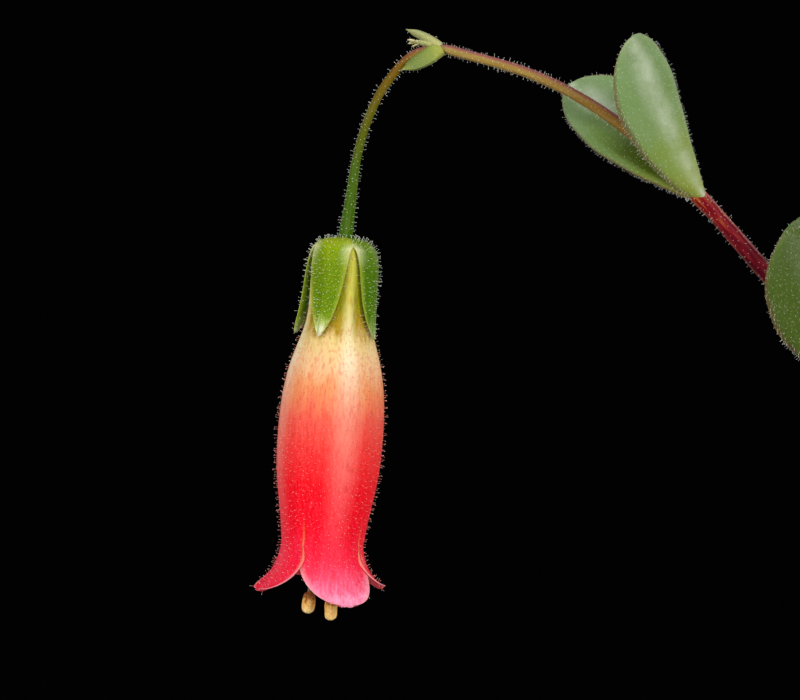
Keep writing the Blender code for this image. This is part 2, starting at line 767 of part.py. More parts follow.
def shoot_route(shoot, rng):
    """A stem's route: upright in the soil, then bending over as it grows."""
    start = heading(shoot.azimuth, 0.0) * shoot.foot
    start.z = soil_height(shoot.foot) - FOOT_DEPTH
    route = [start, start + UP * (FOOT_DEPTH + 1 * MM)]
    count = max(4, round(shoot.length / RING_STEP))
    sway = rng.uniform(-STEM_SWAY, STEM_SWAY)
    for index in range(count):
        share = (index + 0.5) / count
        rise = 90 - (90 - shoot.end_rise) * share ** shoot.bending
        azimuth = shoot.azimuth + sway * math.sin(2 * math.pi * share)
        route.append(route[-1] + heading(azimuth, rise) * (shoot.length / count))
    return route


def stalk_route(tip, azimuth, start_rise, length):
    """A flower stalk: it rises a little, arches over and ends pointing down."""
    route = [tip]
    for index in range(STALK_BANDS):
        share = (index + 0.5) / STALK_BANDS
        rise = start_rise + (STALK_DROP - start_rise) * share ** 0.9
        route.append(route[-1] + heading(azimuth, rise) * (length / STALK_BANDS))
    return route


def hang_flower(stem, route, rng):
    """Hang a flower from the end of a stalk."""
    axis = (route[-1] - route[-2]).normalized()
    front = heading(rng.uniform(0, 360), 0.0)
    flares = tuple((rng.uniform(*LOBE_FLARES), rng.uniform(*LOBE_LENGTHS)) for _ in range(4))
    stem.stalks.append(route[:-1] + [route[-1] + axis * 0.3 * MM])
    stem.flowers.append(Flower(route[-1], axis, front, flares))


def bracts(stem, point, tangent, azimuth):
    """Two small bracts at the node that the flower stalks spring from."""
    across = heading(azimuth + 90, 0.0)
    for side in (-1, 1):
        offset = (tangent + across * side * 0.8 + UP * 0.2).normalized() * 3.2 * MM
        stem.leaves.append(natural_leaf(point, offset, tangent, 1.6 * MM, 0.5))


def make_hero():
    """The photographed stem: its route, its stalk and its single flower."""
    route = smooth_route([Vector((x, 0.0, z)) * MM for x, z in HERO_STEM], 8 * MM)
    route.insert(0, route[0] - UP * (FOOT_DEPTH + 1 * MM))
    total = route_length(route)
    left = [(total - route_length(route[:index + 1])) / MM for index in range(len(route))]
    radii = [float(radius) * MM for radius in np.interp(left, *zip(*HERO_GIRTH))]
    stem = Stem("flower_stem_1", route, radii)
    stalk = smooth_route([Vector((x, 0.0, z)) * MM for x, z in HERO_STALK], 2.5 * MM)
    stem.stalks.append(stalk[:-1] + [stalk[-1] + HERO_AXIS * 0.3 * MM])
    stem.flowers.append(Flower(stalk[-1], HERO_AXIS, heading(HERO_FRONT, 0.0), HERO_FLARES))
    return stem


def hero_leaves(stem):
    """The leaves and bracts that the photograph shows."""
    tangent = (HERO_NODE_2 - HERO_NODE_3).normalized()
    for node, offset, width in HERO_LEAVES:
        stem.leaves.append(natural_leaf(node, offset * MM, tangent, width * MM))
    node = stem.route[-1]
    stem.leaves.append(natural_leaf(node, LOW_BRACT, -UP, LOW_BRACT_WIDTH))
    stem.leaves.append(natural_leaf(node, HIGH_BRACT, UP, HIGH_BRACT_WIDTH))


def grow_shoot(shoot, rng):
    """A stem with its stalks and flowers, still without leaves."""
    route = shoot_route(shoot, rng)
    tip = FLOWER_TIP_RADIUS if shoot.flowers else LEAFY_TIP_RADIUS
    stem = Stem(shoot.name, route, taper(route, STEM_FOOT_RADIUS, tip))
    spreads = {0: (), 1: (0,), 2: (-STALK_FORK, STALK_FORK)}[shoot.flowers]
    tangent = (route[-1] - route[-2]).normalized()
    for index, spread in enumerate(spreads):
        length = rng.uniform(*STALK_LENGTHS)
        start = route[-1] - tangent * (STALK_SPACING * (index + 1))
        stalk = stalk_route(start, shoot.azimuth + spread, shoot.end_rise + STALK_LIFT, length)
        hang_flower(stem, stalk, rng)
    if shoot.flowers:
        bracts(stem, route[-1], tangent, shoot.azimuth)
    return stem


def flower_cage(flower):
    """The room that a hanging flower takes up."""
    bm = sleeve(4, 8)
    matrix = flower_matrix(flower)
    for vert in bm.verts:
        wide = 3.6 * MM if vert.co.z < 0.7 else FLOWER_CLEAR
        vert.co = matrix @ Vector((vert.co.x * wide, vert.co.y * wide, vert.co.z * FLOWER_REACH))
    return mesh_from(bm, "cage")


def leaf_out(stems, pot, soil):
    """Grow the leaf pairs of every stem, each clear of all that has grown before."""
    rng = random.Random(SEED + 1)
    crowd = Crowd([bvh(pot.data), bvh(soil.data)])
    for stem in stems:
        crowd.add(stem.name, tube(stem.route, stem.radii, STEM_SIDES))
        for stalk in stem.stalks:
            crowd.add(stem.name, tube(stalk, stalk_radii(stalk), STALK_SIDES))
        for flower in stem.flowers:
            crowd.add("flower", flower_cage(flower))
        for leaf in stem.leaves:
            crowd.add(stem.name, leaf_mesh(leaf), leaf_mesh(leaf, BLADE_START))
    for number, stem in enumerate(stems):
        total = route_length(stem.route)
        bare = FLOWER_BARE_TIP if stem.flowers else LEAFY_BARE_TIP
        first = FOOT_DEPTH + FIRST_PAIR
        last = total - (HERO_BARE_TIP if number == 0 else bare)
        loss = FLOWER_LEAF_LOSS if stem.flowers else LEAFY_LEAF_LOSS
        pairs = max(2, round((last - first) / LEAF_SPACING) + 1)
        for pair in range(pairs):
            share = pair / (pairs - 1)
            distance = first + (last - first) * share
            length = LONGEST_LEAF - loss * share ** LEAF_LOSS_POWER
            grow_pair(stem, crowd, distance, math.pi / 2 * pair + STEM_TURN * number, length, rng)


def make_stem(stem):
    """Fuse a stem with its stalks, leaves and calyxes into one solid."""
    body = add_object(stem.name, tube(stem.route, stem.radii, STEM_SIDES), None)
    parts = [add_object("stalk", tube(route, stalk_radii(route), STALK_SIDES), None)
             for route in stem.stalks]
    parts += [add_object("leaf", leaf_mesh(leaf), None) for leaf in stem.leaves]
    rows = HERO_CALYX_ROWS if stem.name == "flower_stem_1" else CALYX_ROWS
    parts += [calyx_object(flower, rows) for flower in stem.flowers]
    combine(body, parts, "UNION")
    body.data.materials.clear()
    body.data.materials.append(foliage())
    body.data.shade_smooth()
    body.data.set_sharp_from_angle(angle=math.radians(40))
    return body


def main():
    """Build the pot, the soil and the plant."""
    clear_scene()
    rng = random.Random(SEED)
    stems = [make_hero()] + [grow_shoot(shoot, rng) for shoot in SHOOTS]
    hero_leaves(stems[0])
    pot = make_pot()
    soil = make_soil(stems)
    leaf_out(stems, pot, soil)
    number = 0
    for stem in stems:
        make_stem(stem)
        for flower in stem.flowers:
            number += 1
            if number == 1:
                make_corolla("corolla_1", flower, HERO_COROLLA_RINGS, HERO_LOBE_RINGS, 4)
                make_stamens("stamens_1", flower, 8)
            else:
                make_corolla(f"corolla_{number}", flower, COROLLA_RINGS, LOBE_RINGS, 2)
                make_stamens(f"stamens_{number}", flower, 4)
    holder = bpy.data.objects.new("plant_in_pot", None)
    bpy.context.scene.collection.objects.link(holder)
    for obj in bpy.context.scene.objects:
        if obj.type == "MESH":
            obj.parent = holder


main()
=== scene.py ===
"""Dress the potted tessa kalanchoe: hanging coral flowers, glandular hairs, fleshy leaves, clay and soil.

The stems, leaves and flowers grow here by the same rules and random draws as in the part's source, so each
fine piece lies where the solid that it replaces lies. Lengths are in metres and the frame is the CAD's.
"""

import logging
import random
from dataclasses import dataclass, field, replace
from enum import Enum
from itertools import accumulate
from math import asin, atan2, cos, exp, hypot, pi, prod, radians, remainder, sin, sqrt
from typing import Any, Callable, Iterable, Optional, Sequence

import bmesh
import bpy
import numpy as np
from bmesh import ops
from bmesh.types import BMesh, BMVert
from bpy.types import ID, Material, Mesh, NodeSocket, Object
from mathutils import Euler, Matrix, Vector, noise

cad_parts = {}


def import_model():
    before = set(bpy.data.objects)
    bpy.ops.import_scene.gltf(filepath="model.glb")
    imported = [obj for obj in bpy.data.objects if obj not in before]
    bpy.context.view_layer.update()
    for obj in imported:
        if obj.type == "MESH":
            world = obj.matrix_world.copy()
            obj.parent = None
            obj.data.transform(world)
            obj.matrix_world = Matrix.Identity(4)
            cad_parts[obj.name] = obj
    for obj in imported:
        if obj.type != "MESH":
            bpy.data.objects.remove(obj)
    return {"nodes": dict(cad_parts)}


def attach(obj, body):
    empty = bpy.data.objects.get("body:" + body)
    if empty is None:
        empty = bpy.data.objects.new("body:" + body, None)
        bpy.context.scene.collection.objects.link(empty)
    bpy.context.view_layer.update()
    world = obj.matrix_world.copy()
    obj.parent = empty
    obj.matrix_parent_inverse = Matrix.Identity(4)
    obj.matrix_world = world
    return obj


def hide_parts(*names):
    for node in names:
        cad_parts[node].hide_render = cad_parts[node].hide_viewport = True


log = logging.getLogger("kalanchoe")

MM = 0.001
UP = Vector((0.0, 0.0, 1.0))
SEED = 41

# The pot's and the soil's levels, which the stems grow from
POT_HEIGHT = 93 * MM
POT_RADIUS = 54 * MM
POT_FOOT_RADIUS = 35 * MM
POT_WALL = 5 * MM
POT_FLOOR = 6 * MM
SOIL_EDGE_Z = 82 * MM
SOIL_CROWN_Z = 86 * MM
FOOT_DEPTH = 9 * MM             # how deep the stems stand in the soil
GAP = 0.3 * MM                  # between the soil and the pot

# Where a stem's hairs begin above the soil, and how soon a sudden change in any coat is over
HAIRS_Z = SOIL_CROWN_Z + 1 * MM
STEP = 1e-9

# Where the photograph was taken from
PHOTO_AIM = Vector((-97.7, 0.0, 161.7)) * MM
PHOTO_DISTANCE = 298.7 * MM
PHOTO_ELEVATION = 3.0

# The layers of numbers that the finishes read; one more, "local", holds a vertex's place in its own part
LAYERS = ("along", "across", "tone")
# A vertex's place, and its values in the layers "along", "across", "local" and "tone"
Placed = tuple[Vector, float, float, Vector, float]
Route = Sequence[Vector]
Arrays = dict[str, np.ndarray]


@dataclass(frozen=True)
class Fineness:
    """How many steps the meshes of one level of detail take."""

    stem_step: float
    stem_columns: int
    stalk_columns: int
    leaf_rings: int
    leaf_columns: int
    petal_columns: int
    tube_rows: int
    lobe_rows: int
    sepal_columns: int
    sepal_rows: int
    close: bool                 # whether the photograph shows it, so that it gets its full detail


class Detail(Enum):
    """How finely the photographed stem is made, and the rest of the plant."""

    CLOSE = Fineness(0.7 * MM, 24, 18, 34, 40, 20, 46, 18, 16, 26, True)
    WHOLE = Fineness(2.2 * MM, 10, 8, 14, 14, 8, 16, 8, 6, 9, False)


# Mesh helpers


def sleeve(bands: int, columns: int, bottom: bool = True) -> BMesh:
    """Make a tube of radius 1 with z from 0 to 1, to be bent into shape.

    Args:
        bands: Rings of faces along it.
        columns: Faces round it.
        bottom: Whether the end at z = 0 is closed.

    Returns:
        The tube.
    """
    bm = bmesh.new()
    ops.create_cone(bm, cap_ends=True, cap_tris=False, segments=columns, radius1=1, radius2=1, depth=1)
    ops.translate(bm, verts=bm.verts, vec=(0, 0, 0.5))
    upright = [e for e in bm.edges if abs(e.verts[0].co.z - e.verts[1].co.z) > 0.5]
    if bands > 1:
        ops.subdivide_edges(bm, edges=upright, cuts=bands - 1, use_grid_fill=True)
    if not bottom:
        ops.delete(bm, geom=[f for f in bm.faces if f.normal.z < -0.9], context="FACES_ONLY")
    return bm


def band_and_angle(vert: BMVert, bands: int) -> tuple[int, float]:
    """Tell which ring of a sleeve a vertex belongs to, and its angle round the axis."""
    return round(vert.co.z * bands), atan2(vert.co.y, vert.co.x)


def mesh_from(bm: BMesh, name: str, outward: bool = True) -> Mesh:
    """Turn a bmesh into a mesh.

    Args:
        bm: The bmesh, which is freed.
        name: The mesh's name.
        outward: Whether its faces are turned to point out.

    Returns:
        The mesh.
    """
    if outward:
        ops.recalc_face_normals(bm, faces=bm.faces)
        # A thin cupped leaf can come out of that inside out
        if all(edge.is_manifold for edge in bm.edges) and bm.calc_volume(signed=True) < 0:
            ops.reverse_faces(bm, faces=bm.faces)
    mesh = bpy.data.meshes.new(name)
    bm.to_mesh(mesh)
    bm.free()
    return mesh


def layered(bm: BMesh) -> Callable[[BMVert, Placed], None]:
    """Give a bmesh the layers that the finishes read.

    Args:
        bm: The bmesh.

    Returns:
        A function that places a vertex and fills its layers.
    """
    for name in LAYERS:
        bm.verts.layers.float.new(name)
    bm.verts.layers.float_vector.new("local")
    along, across, tone = (bm.verts.layers.float[name] for name in LAYERS)
    local = bm.verts.layers.float_vector["local"]

    def fill(vert: BMVert, placed: Placed) -> None:
        """Place one vertex."""
        vert.co, vert[along], vert[across], vert[local], vert[tone] = placed

    return fill


def finish_faces(bm: BMesh, slot: int) -> None:
    """Shade all faces smooth and give them one material slot.

    Args:
        bm: The bmesh.
        slot: The slot.
    """
    for face in bm.faces:
        face.smooth = True
        face.material_index = slot


def bent(bands: int, columns: int, place: Callable[[int, float], Placed], slot: int) -> Mesh:
    """Bend a closed sleeve into shape.

    Args:
        bands: Rings of faces along it.
        columns: Faces round it.
        place: Gives a vertex's place and layers from its ring and angle.
        slot: Its material slot.

    Returns:
        The mesh.
    """
    bm = sleeve(bands, columns)
    fill = layered(bm)
    for vert in bm.verts:
        fill(vert, place(*band_and_angle(vert, bands)))
    finish_faces(bm, slot)
    return mesh_from(bm, "bent")


def petalled(bands: int, per_petal: int, split_row: int, place: Callable[[int, float, int], Placed]) -> Mesh:
    """Bend an open sleeve into four petals that are joined above and cut apart below.

    Args:
        bands: Rows of faces from the base to the tips.
        per_petal: Faces across each petal.
        split_row: Row from which slits part the petals.
        place: Gives a vertex's place and layers from its row, its offset across the petal and the petal.

    Returns:
        The open shell, with its faces away from the axis.
    """
    bm = sleeve(bands, 4 * per_petal, bottom=False)
    slits = []
    for edge in bm.edges:
        places = [band_and_angle(vert, bands) for vert in edge.verts]
        low = all(bands - ring >= split_row for ring, _ in places)
        seam = all(abs(cos(2 * angle)) < 0.01 for _, angle in places)
        if low and seam and places[0][0] != places[1][0]:
            slits.append(edge)
    ops.split_edges(bm, edges=slits)
    petal_of = {}
    for vert in bm.verts:
        sides = [face for face in vert.link_faces if abs(face.normal.z) < 0.5]
        centre = sides[0].calc_center_median()
        petal_of[vert.index] = round(atan2(centre.y, centre.x) / (pi / 2)) % 4
    fill = layered(bm)
    for vert in bm.verts:
        ring, angle = band_and_angle(vert, bands)
        petal = petal_of[vert.index]
        offset = remainder(angle - petal * pi / 2, 2 * pi) / (pi / 4)
        fill(vert, place(bands - ring, offset, petal))
    finish_faces(bm, 0)
    mesh = mesh_from(bm, "petals")
    widest = max(mesh.polygons, key=lambda f: hypot(f.center.x, f.center.y) - abs(f.normal.z) * 0.01)
    if widest.normal.dot(Vector((widest.center.x, widest.center.y, 0.0))) < 0:
        mesh.flip_normals()
    return mesh


def add_object(name: str, data: ID, materials: Sequence[Material] = ()) -> Object:
    """Put a mesh, a lamp or a camera into the scene.

    Args:
        name: The object's name.
        data: The mesh, the lamp or the camera.
        materials: A mesh's material slots in order.

    Returns:
        The object.
    """
    obj = bpy.data.objects.new(name, data)
    bpy.context.scene.collection.objects.link(obj)
    for made in materials:
        data.materials.append(made)
    return obj


def turned(profile: Sequence[tuple[float, float]], steps: int) -> BMesh:
    """Turn a profile round the axis.

    Args:
        profile: Radii and heights, from axis to axis.
        steps: Faces round it.

    Returns:
        The closed shape.
    """
    bm = bmesh.new()
    verts = [bm.verts.new((radius, 0.0, z)) for radius, z in profile]
    edges = [bm.edges.new(pair) for pair in zip(verts, verts[1:])]
    ops.spin(bm, geom=verts + edges, cent=(0, 0, 0), axis=(0, 0, 1), dvec=(0, 0, 0), angle=2 * pi,
             steps=steps, use_merge=True)
    ops.remove_doubles(bm, verts=bm.verts, dist=1e-6)
    return bm


def applied(obj: Object) -> Mesh:
    """Take an object's mesh with its modifiers applied, and remove the object.

    Args:
        obj: The object.

    Returns:
        The mesh.
    """
    bpy.context.view_layer.update()
    depsgraph = bpy.context.evaluated_depsgraph_get()
    mesh = bpy.data.meshes.new_from_object(obj.evaluated_get(depsgraph))
    bpy.data.objects.remove(obj, do_unlink=True)
    return mesh


def walled(mesh: Mesh, wall: float, share: Callable[[float, float], float],
           finishes: Sequence[Material] = ()) -> Mesh:
    """Give an open shell a wall.

    Args:
        mesh: The shell.
        wall: Greatest thickness, inward.
        share: Gives the share of it that a place has, from the layers "along" and "across".
        finishes: The outer and the inner face's materials, if they differ.

    Returns:
        The closed shell.
    """
    obj = add_object("shell", mesh, finishes)
    group = obj.vertex_groups.new(name="wall")
    layers = [[float(entry.value) for entry in mesh.attributes[name].data] for name in ("along", "across")]
    for index, (along, across) in enumerate(zip(*layers)):
        group.add([index], share(along, across), "REPLACE")
    modifier = obj.modifiers.new("wall", "SOLIDIFY")
    modifier.thickness = wall
    modifier.offset = -1
    modifier.vertex_group = "wall"
    modifier.material_offset = 1 if finishes else 0
    modifier.use_quality_normals = True
    return applied(obj)


def joined(name: str, meshes: Sequence[Mesh], sharp: float) -> Mesh:
    """Join meshes into one.

    Args:
        name: The mesh's name.
        meshes: The meshes, which are removed.
        sharp: Angle in degrees from which an edge is shaded sharp.

    Returns:
        The joined mesh.
    """
    bm = bmesh.new()
    layered(bm)
    for mesh in meshes:
        bm.from_mesh(mesh)
        bpy.data.meshes.remove(mesh)
    mesh = mesh_from(bm, name, outward=False)
    mesh.shade_smooth()
    mesh.set_sharp_from_angle(angle=radians(sharp))
    return mesh


def piece(obj: Object, slot: str, *nodes: str) -> Object:
    """Declare a piece of the plant to the frame.

    Args:
        obj: The piece.
        slot: Not used.
        nodes: CAD nodes that it stands for.

    Returns:
        The piece.
    """
    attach(obj, "root")
    if nodes:
        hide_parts(*nodes)
    log.info("%s: %d faces", obj.name, len(obj.data.polygons))
    return obj


# Routes


def smooth_route(points: Route, step: float) -> list[Vector]:
    """Lay a smooth curve through points.

    Args:
        points: What it passes through.
        step: About how far apart the curve's own points are.

    Returns:
        The curve's points.
    """
    ends = [points[0] * 2 - points[1]] + list(points) + [points[-1] * 2 - points[-2]]
    route = [points[0]]
    for index in range(1, len(ends) - 2):
        before, start, end, after = ends[index - 1:index + 3]
        count = max(1, round((end - start).length / step))
        for part in range(1, count + 1):
            t = part / count
            route.append(0.5 * (2 * start + (end - before) * t + (2 * before - 5 * start + 4 * end - after)
                                * t ** 2 + (3 * start - before - 3 * end + after) * t ** 3))
    return route


def route_frames(route: Route) -> list[tuple[Vector, Vector]]:
    """Carry two directions across a route along it without twist.

    Args:
        route: The route's points.

    Returns:
        The two directions at each point.
    """
    tangents = []
    for index in range(len(route)):
        ahead = route[min(index + 1, len(route) - 1)]
        behind = route[max(index - 1, 0)]
        tangents.append((ahead - behind).normalized())
    side = tangents[0].orthogonal().normalized()
    frames = []
    for tangent in tangents:
        side = (side - tangent * side.dot(tangent)).normalized()
        frames.append((side, tangent.cross(side)))
    return frames


def route_point(route: Route, distance: float) -> tuple[Vector, Vector]:
    """Find the point and the direction at a distance along a route.

    Args:
        route: The route's points.
        distance: How far from its start.

    Returns:
        The point and the direction there.
    """
    left = distance
    for start, end in zip(route, route[1:]):
        length = (end - start).length
        if left <= length:
            return start.lerp(end, left / length), (end - start).normalized()
        left -= length
    return route[-1].copy(), (route[-1] - route[-2]).normalized()


def distances(route: Route) -> list[float]:
    """Give each point's distance from the start of its route."""
    return list(accumulate(((end - start).length for start, end in zip(route, route[1:])), initial=0.0))


# Growth: the same rules, numbers and random draws as in the part's source, and the turns that it found to
# keep each leaf clear of the others


@dataclass(frozen=True)
class Leaf:
    """A fleshy obovate leaf. The root lies on the stem's axis and the face looks to the stem's tip."""

    root: Vector
    along: Vector
    face: Vector
    length: float
    width: float
    shade: Optional[float] = None
    painted_shade: float = 0.0           # painted shade: how much darker the half towards -across is painted

    FOOT = 0.42 * MM            # half the width that its foot adds
    THICKNESS = 1.3 * MM
    EDGE_LIFT = 0.5             # how high its edge lies between its middle and its face
    CUP = 0.1                   # how far its edges turn up, for each half width
    BOW = 0.045                 # how far it arches, for each length
    BRACT_LENGTH = 3.3 * MM
    PLUMPNESS = 0.27            # its thickness for each length, while that is under THICKNESS
    LOW_BRACT_PLUMPNESS = 0.4
    LOW_BRACT_SHADE = 1.4
    ROUND_TIP = 0.9998

    def half_width(self, share: float) -> float:
        """Give half the blade's width at a share of its length."""
        blade = sqrt(abs(sin(pi * share ** 1.55)))
        return 0.5 * self.width * blade + self.FOOT * (1 - share) ** 3

    def half_thickness(self, share: float) -> float:
        """Give half the leaf's thickness at a share of its length."""
        return 0.5 * self.THICKNESS * (1 - 0.75 * share ** 3)

    def fine(self, rings: int, columns: int, tone: float) -> Mesh:
        """Make the leaf as it looks: a rounded margin, a shallow channel above and a full back.

        Args:
            rings: Rings of faces along it.
            columns: Faces round it.
            tone: The leaf's own shade, from 0 to 1.

        Returns:
            The closed mesh, in material slot 1.
        """
        side = self.along.cross(self.face)
        low_bract = self.shade == self.LOW_BRACT_SHADE
        plumpness = self.LOW_BRACT_PLUMPNESS if low_bract else self.PLUMPNESS
        plump = min(1.0, plumpness * self.length / self.THICKNESS)
        bract = self.length <= self.BRACT_LENGTH

        def place(ring: int, angle: float) -> Placed:
            """Place one vertex of the leaf.

            Args:
                ring: Its ring, from the start on.
                angle: Its angle round the axis.

            Returns:
                Its place and layers.
            """
            share = min(self.ROUND_TIP, 1 - (1 - ring / rings) ** 2)
            across, root = cos(angle), abs(sin(angle))
            if sin(angle) >= 0:
                over = self.EDGE_LIFT + 0.45 * root ** 2
            else:
                over = self.EDGE_LIFT - (1 + self.EDGE_LIFT) * root ** 0.8
            wide = self.half_width(share) * (1.0 if bract else 1 + 0.012 * sin(23 * share + 9 * tone))
            thick = self.half_thickness(share) * plump * min(1.0, 0.3 + 3.2 * (1 - share))
            bow = 4 * self.BOW * self.length * share * (1 - share)
            wave = 0.16 * MM * sin(7 * share + 12 * tone + across) * across ** 2 * share
            lift = bow + self.CUP * wide * across ** 2 + thick * over + (0.0 if bract else wave)
            point = (self.root + self.along * (self.length * share) + side * (wide * across)
                     + self.face * lift)
            local = Vector((wide * across, lift, self.length * share)) / MM
            # Painted shade: the half towards -across is darkened to stand in for the shade that falls on it
            painted_shade = self.painted_shade * float(np.interp(-across, (0.0, 0.2, 0.7, 0.95), (0.0, 1.0, 0.9, 0.1)))
            painted_shade *= float(np.interp(share, (0.45, 0.85), (1.0, 0.25)))
            return point, share, across, local, tone - painted_shade

        return bent(rings, columns, place, 1)


@dataclass(frozen=True)
class Flower:
    """A hanging flower: base of its calyx, its axis, the first petal's direction and four flares."""

    base: Vector
    axis: Vector
    front: Vector
    flares: tuple[tuple[float, float], ...]

    def matrix(self) -> Matrix:
        """Give its place: local +Z runs down its axis and local +X to its first petal.

        Returns:
            The matrix.
        """
        across = (self.front - self.axis * self.front.dot(self.axis)).normalized()
        matrix = Matrix((across, self.axis.cross(across), self.axis)).transposed().to_4x4()
        matrix.translation = self.base
        return matrix


@dataclass(frozen=True)
class Shoot:
    """What sets one stem's growth: it leaves the soil upright and bends over towards its azimuth."""

    name: str
    azimuth: float
    foot: float
    length: float
    end_rise: float
    bending: float
    flowers: int = 0
    # Which of the growth's turns its lowest leaves take, with None for one that has no room. The leaves
    # above them take the first turn
    turns: tuple[Optional[int], ...] = ()


@dataclass
class Stem:
    """One stem with all that grows on it."""

    name: str
    route: list[Vector]
    radii: list[float]
    stalks: list[list[Vector]] = field(default_factory=list)
    flowers: list[Flower] = field(default_factory=list)
    leaves: list[Leaf] = field(default_factory=list)
    turns: tuple[Optional[int], ...] = ()


def natural_leaf(root: Vector, offset: Vector, tangent: Vector, width: float, lift: float = 0.0,
                 shade: Optional[float] = None, painted_shade: float = 0.0) -> Leaf:
    """Make a leaf that reaches from the stem's axis by an offset, and faces the stem's tip.

    Args:
        root: Its root on the stem's axis.
        offset: From its root to its tip.
        tangent: The stem's direction.
        width: Its width.
        lift: How much its face turns up.
        shade: Its own shade, if that is fixed.
        painted_shade: How much darker one half is.

    Returns:
        The leaf.
    """
    along = offset.normalized()
    aim = tangent + UP * lift
    face = (aim - along * aim.dot(along)).normalized()
    return Leaf(root, along, face, offset.length, width, shade, painted_shade)


def heading(azimuth: float, rise: float) -> Vector:
    """Give a direction from an azimuth and a rise above level, in degrees."""
    flat = cos(radians(rise))
    return Vector((flat * cos(radians(azimuth)), flat * sin(radians(azimuth)), sin(radians(rise))))


@dataclass(frozen=True)
class Growth:
    """The plant's rules: its stems' routes, its flower stalks and its pairs of leaves."""

    foot_radius: float = 1.29 * MM
    flower_tip: float = 0.5 * MM
    leafy_tip: float = 0.6 * MM
    ring_step: float = 11 * MM
    sway: float = 9
    stalk_radius: float = 0.34 * MM
    stalk_flare: float = 0.6 * MM
    stalk_bands: int = 7
    stalk_spacing: float = 0.7 * MM
    stalk_lengths: tuple[float, float] = (19 * MM, 23 * MM)
    stalk_fork: float = 48
    stalk_lift: float = 28
    stalk_drop: float = -86
    lobe_flares: tuple[float, float] = (35, 75)
    lobe_lengths: tuple[float, float] = (3.6 * MM, 4.3 * MM)
    slim_leaf: float = 0.42
    leaf_broadening: float = 8.0
    leaf_spacing: float = 21 * MM
    first_pair: float = 11 * MM
    hero_bare_tip: float = 64 * MM
    flower_bare_tip: float = 11 * MM
    leafy_bare_tip: float = 0.5 * MM
    longest_leaf: float = 28 * MM
    flower_leaf_loss: float = 11 * MM
    leafy_leaf_loss: float = 13 * MM
    leaf_loss_power: float = 1.4
    leaf_roll: float = 0.2
    leaf_splay: tuple[float, float] = (48, 62)
    leaf_sizes: tuple[float, float] = (0.92, 1.06)
    leaf_rise: float = 0.22
    face_rise: float = 0.8
    stem_turn: float = 0.4

    HERO_STEM = (
        (-10.0, 86.6), (-12.2, 92.0), (-19.5, 102.2), (-34.0, 119.6), (-50.0, 139.6),
        (-64.8, 157.7), (-73.2, 167.0), (-77.7, 172.05), (-82.9, 176.8), (-88.3, 179.95), (-95.0, 182.0),
    )
    HERO_STALK = (
        (-95.0, 182.0), (-96.9, 181.45), (-98.6, 179.6), (-99.75, 177.4), (-100.55, 174.8),
        (-100.95, 172.2), (-101.38, 169.25),
    )
    HERO_NODE_2 = Vector((-77.7, 0.0, 172.05)) * MM
    HERO_NODE_3 = Vector((-64.8, 0.0, 157.7)) * MM
    HERO_AXIS = Vector((-0.075, 0.0, -0.997)).normalized()
    HERO_FRONT = -72.0
    HERO_FLARES = ((27, 3.85 * MM), (50, 3.65 * MM), (78, 3.3 * MM), (58, 3.15 * MM))
    HERO_GIRTH = ((0.0, 0.31), (11.7, 0.36), (23.7, 0.54), (40.0, 0.75), (140.0, 1.4))
    # Each leaf's node, offset, width and shade, and the painted shade that darkens one half of it
    HERO_LEAVES = (
        (HERO_NODE_2, (-4.8, -5.6, 10.5), 5.3, 0.6, 0.0),
        (HERO_NODE_2, (-8.46, 4.3, 7.55), 5.5, 0.8, 0.85),
        (HERO_NODE_3, (-7.6, -9.0, 12.0), 7.2, 0.0, 0.0),
        (HERO_NODE_3, (-5.7, 6.6, 12.6), 8.6, 0.1, 0.0),
    )
    HERO_BUD = (
        ((-95.6, 0.05, 182.15), (-1.5, 0.0, 0.2), 0.95, 1.6),
        ((-96.6, -0.1, 182.35), (-0.62, -0.12, 0.17), 0.3, 2.0),
        ((-96.6, 0.1, 182.3), (-0.6, 0.1, -0.06), 0.3, 2.0),
        ((-96.5, 0.0, 182.2), (-0.45, -0.05, -0.2), 0.36, 1.8),
    )
    SHOOTS = (
        Shoot("flower_stem_2", 12, 16 * MM, 122 * MM, 4, 1.25, 2, (0, 10)),
        Shoot("flower_stem_3", 52, 18 * MM, 128 * MM, 12, 1.3, 2, (9, 4, 4)),
        Shoot("flower_stem_4", 98, 19 * MM, 112 * MM, -4, 0.95, 2, (11,)),
        Shoot("flower_stem_5", 150, 24 * MM, 84 * MM, -22, 0.75, 1, (None, 3, 0, 0, 2)),
        Shoot("flower_stem_6", 214, 24 * MM, 82 * MM, -24, 0.75, 1, (6, 1)),
        Shoot("flower_stem_7", 268, 20 * MM, 104 * MM, -8, 0.9, 2, (0, 7, 1)),
        Shoot("flower_stem_8", 318, 18 * MM, 118 * MM, 2, 1.1, 2, (9, 7, 0, 0, 0, 4)),
        Shoot("leaf_shoot_1", 32, 30 * MM, 72 * MM, 25, 0.8, 0, (3, 0, 0, 7)),
        Shoot("leaf_shoot_2", 76, 4 * MM, 80 * MM, 60, 1.0, 0, (5, None, 9, 0, 3)),
        Shoot("leaf_shoot_3", 126, 27 * MM, 62 * MM, 14, 0.8, 0, (0, None, 0, 7)),
        Shoot("leaf_shoot_4", 182, 31 * MM, 48 * MM, -4, 0.7, 0, (0, 9, 0, 1)),
        Shoot("leaf_shoot_5", 240, 29 * MM, 60 * MM, 10, 0.8, 0, (0, None)),
        Shoot("leaf_shoot_6", 292, 30 * MM, 70 * MM, 22, 0.8, 0, (0, None, None)),
        Shoot("leaf_shoot_7", 345, 31 * MM, 66 * MM, 14, 0.75, 0, (0, 8, 4)),
    )
    # How a leaf is rolled about its stem and splayed, in degrees, and scaled, to be clear of all others
    LEAF_TURNS = (
        (0, 0, 1.0), (14, 0, 1.0), (-14, 0, 1.0), (0, 14, 0.95), (28, -10, 0.95), (-28, -10, 0.95),
        (40, 10, 0.85), (-40, 10, 0.85), (55, 0, 0.75), (-55, 0, 0.75), (0, -24, 0.65), (30, -24, 0.6),
    )

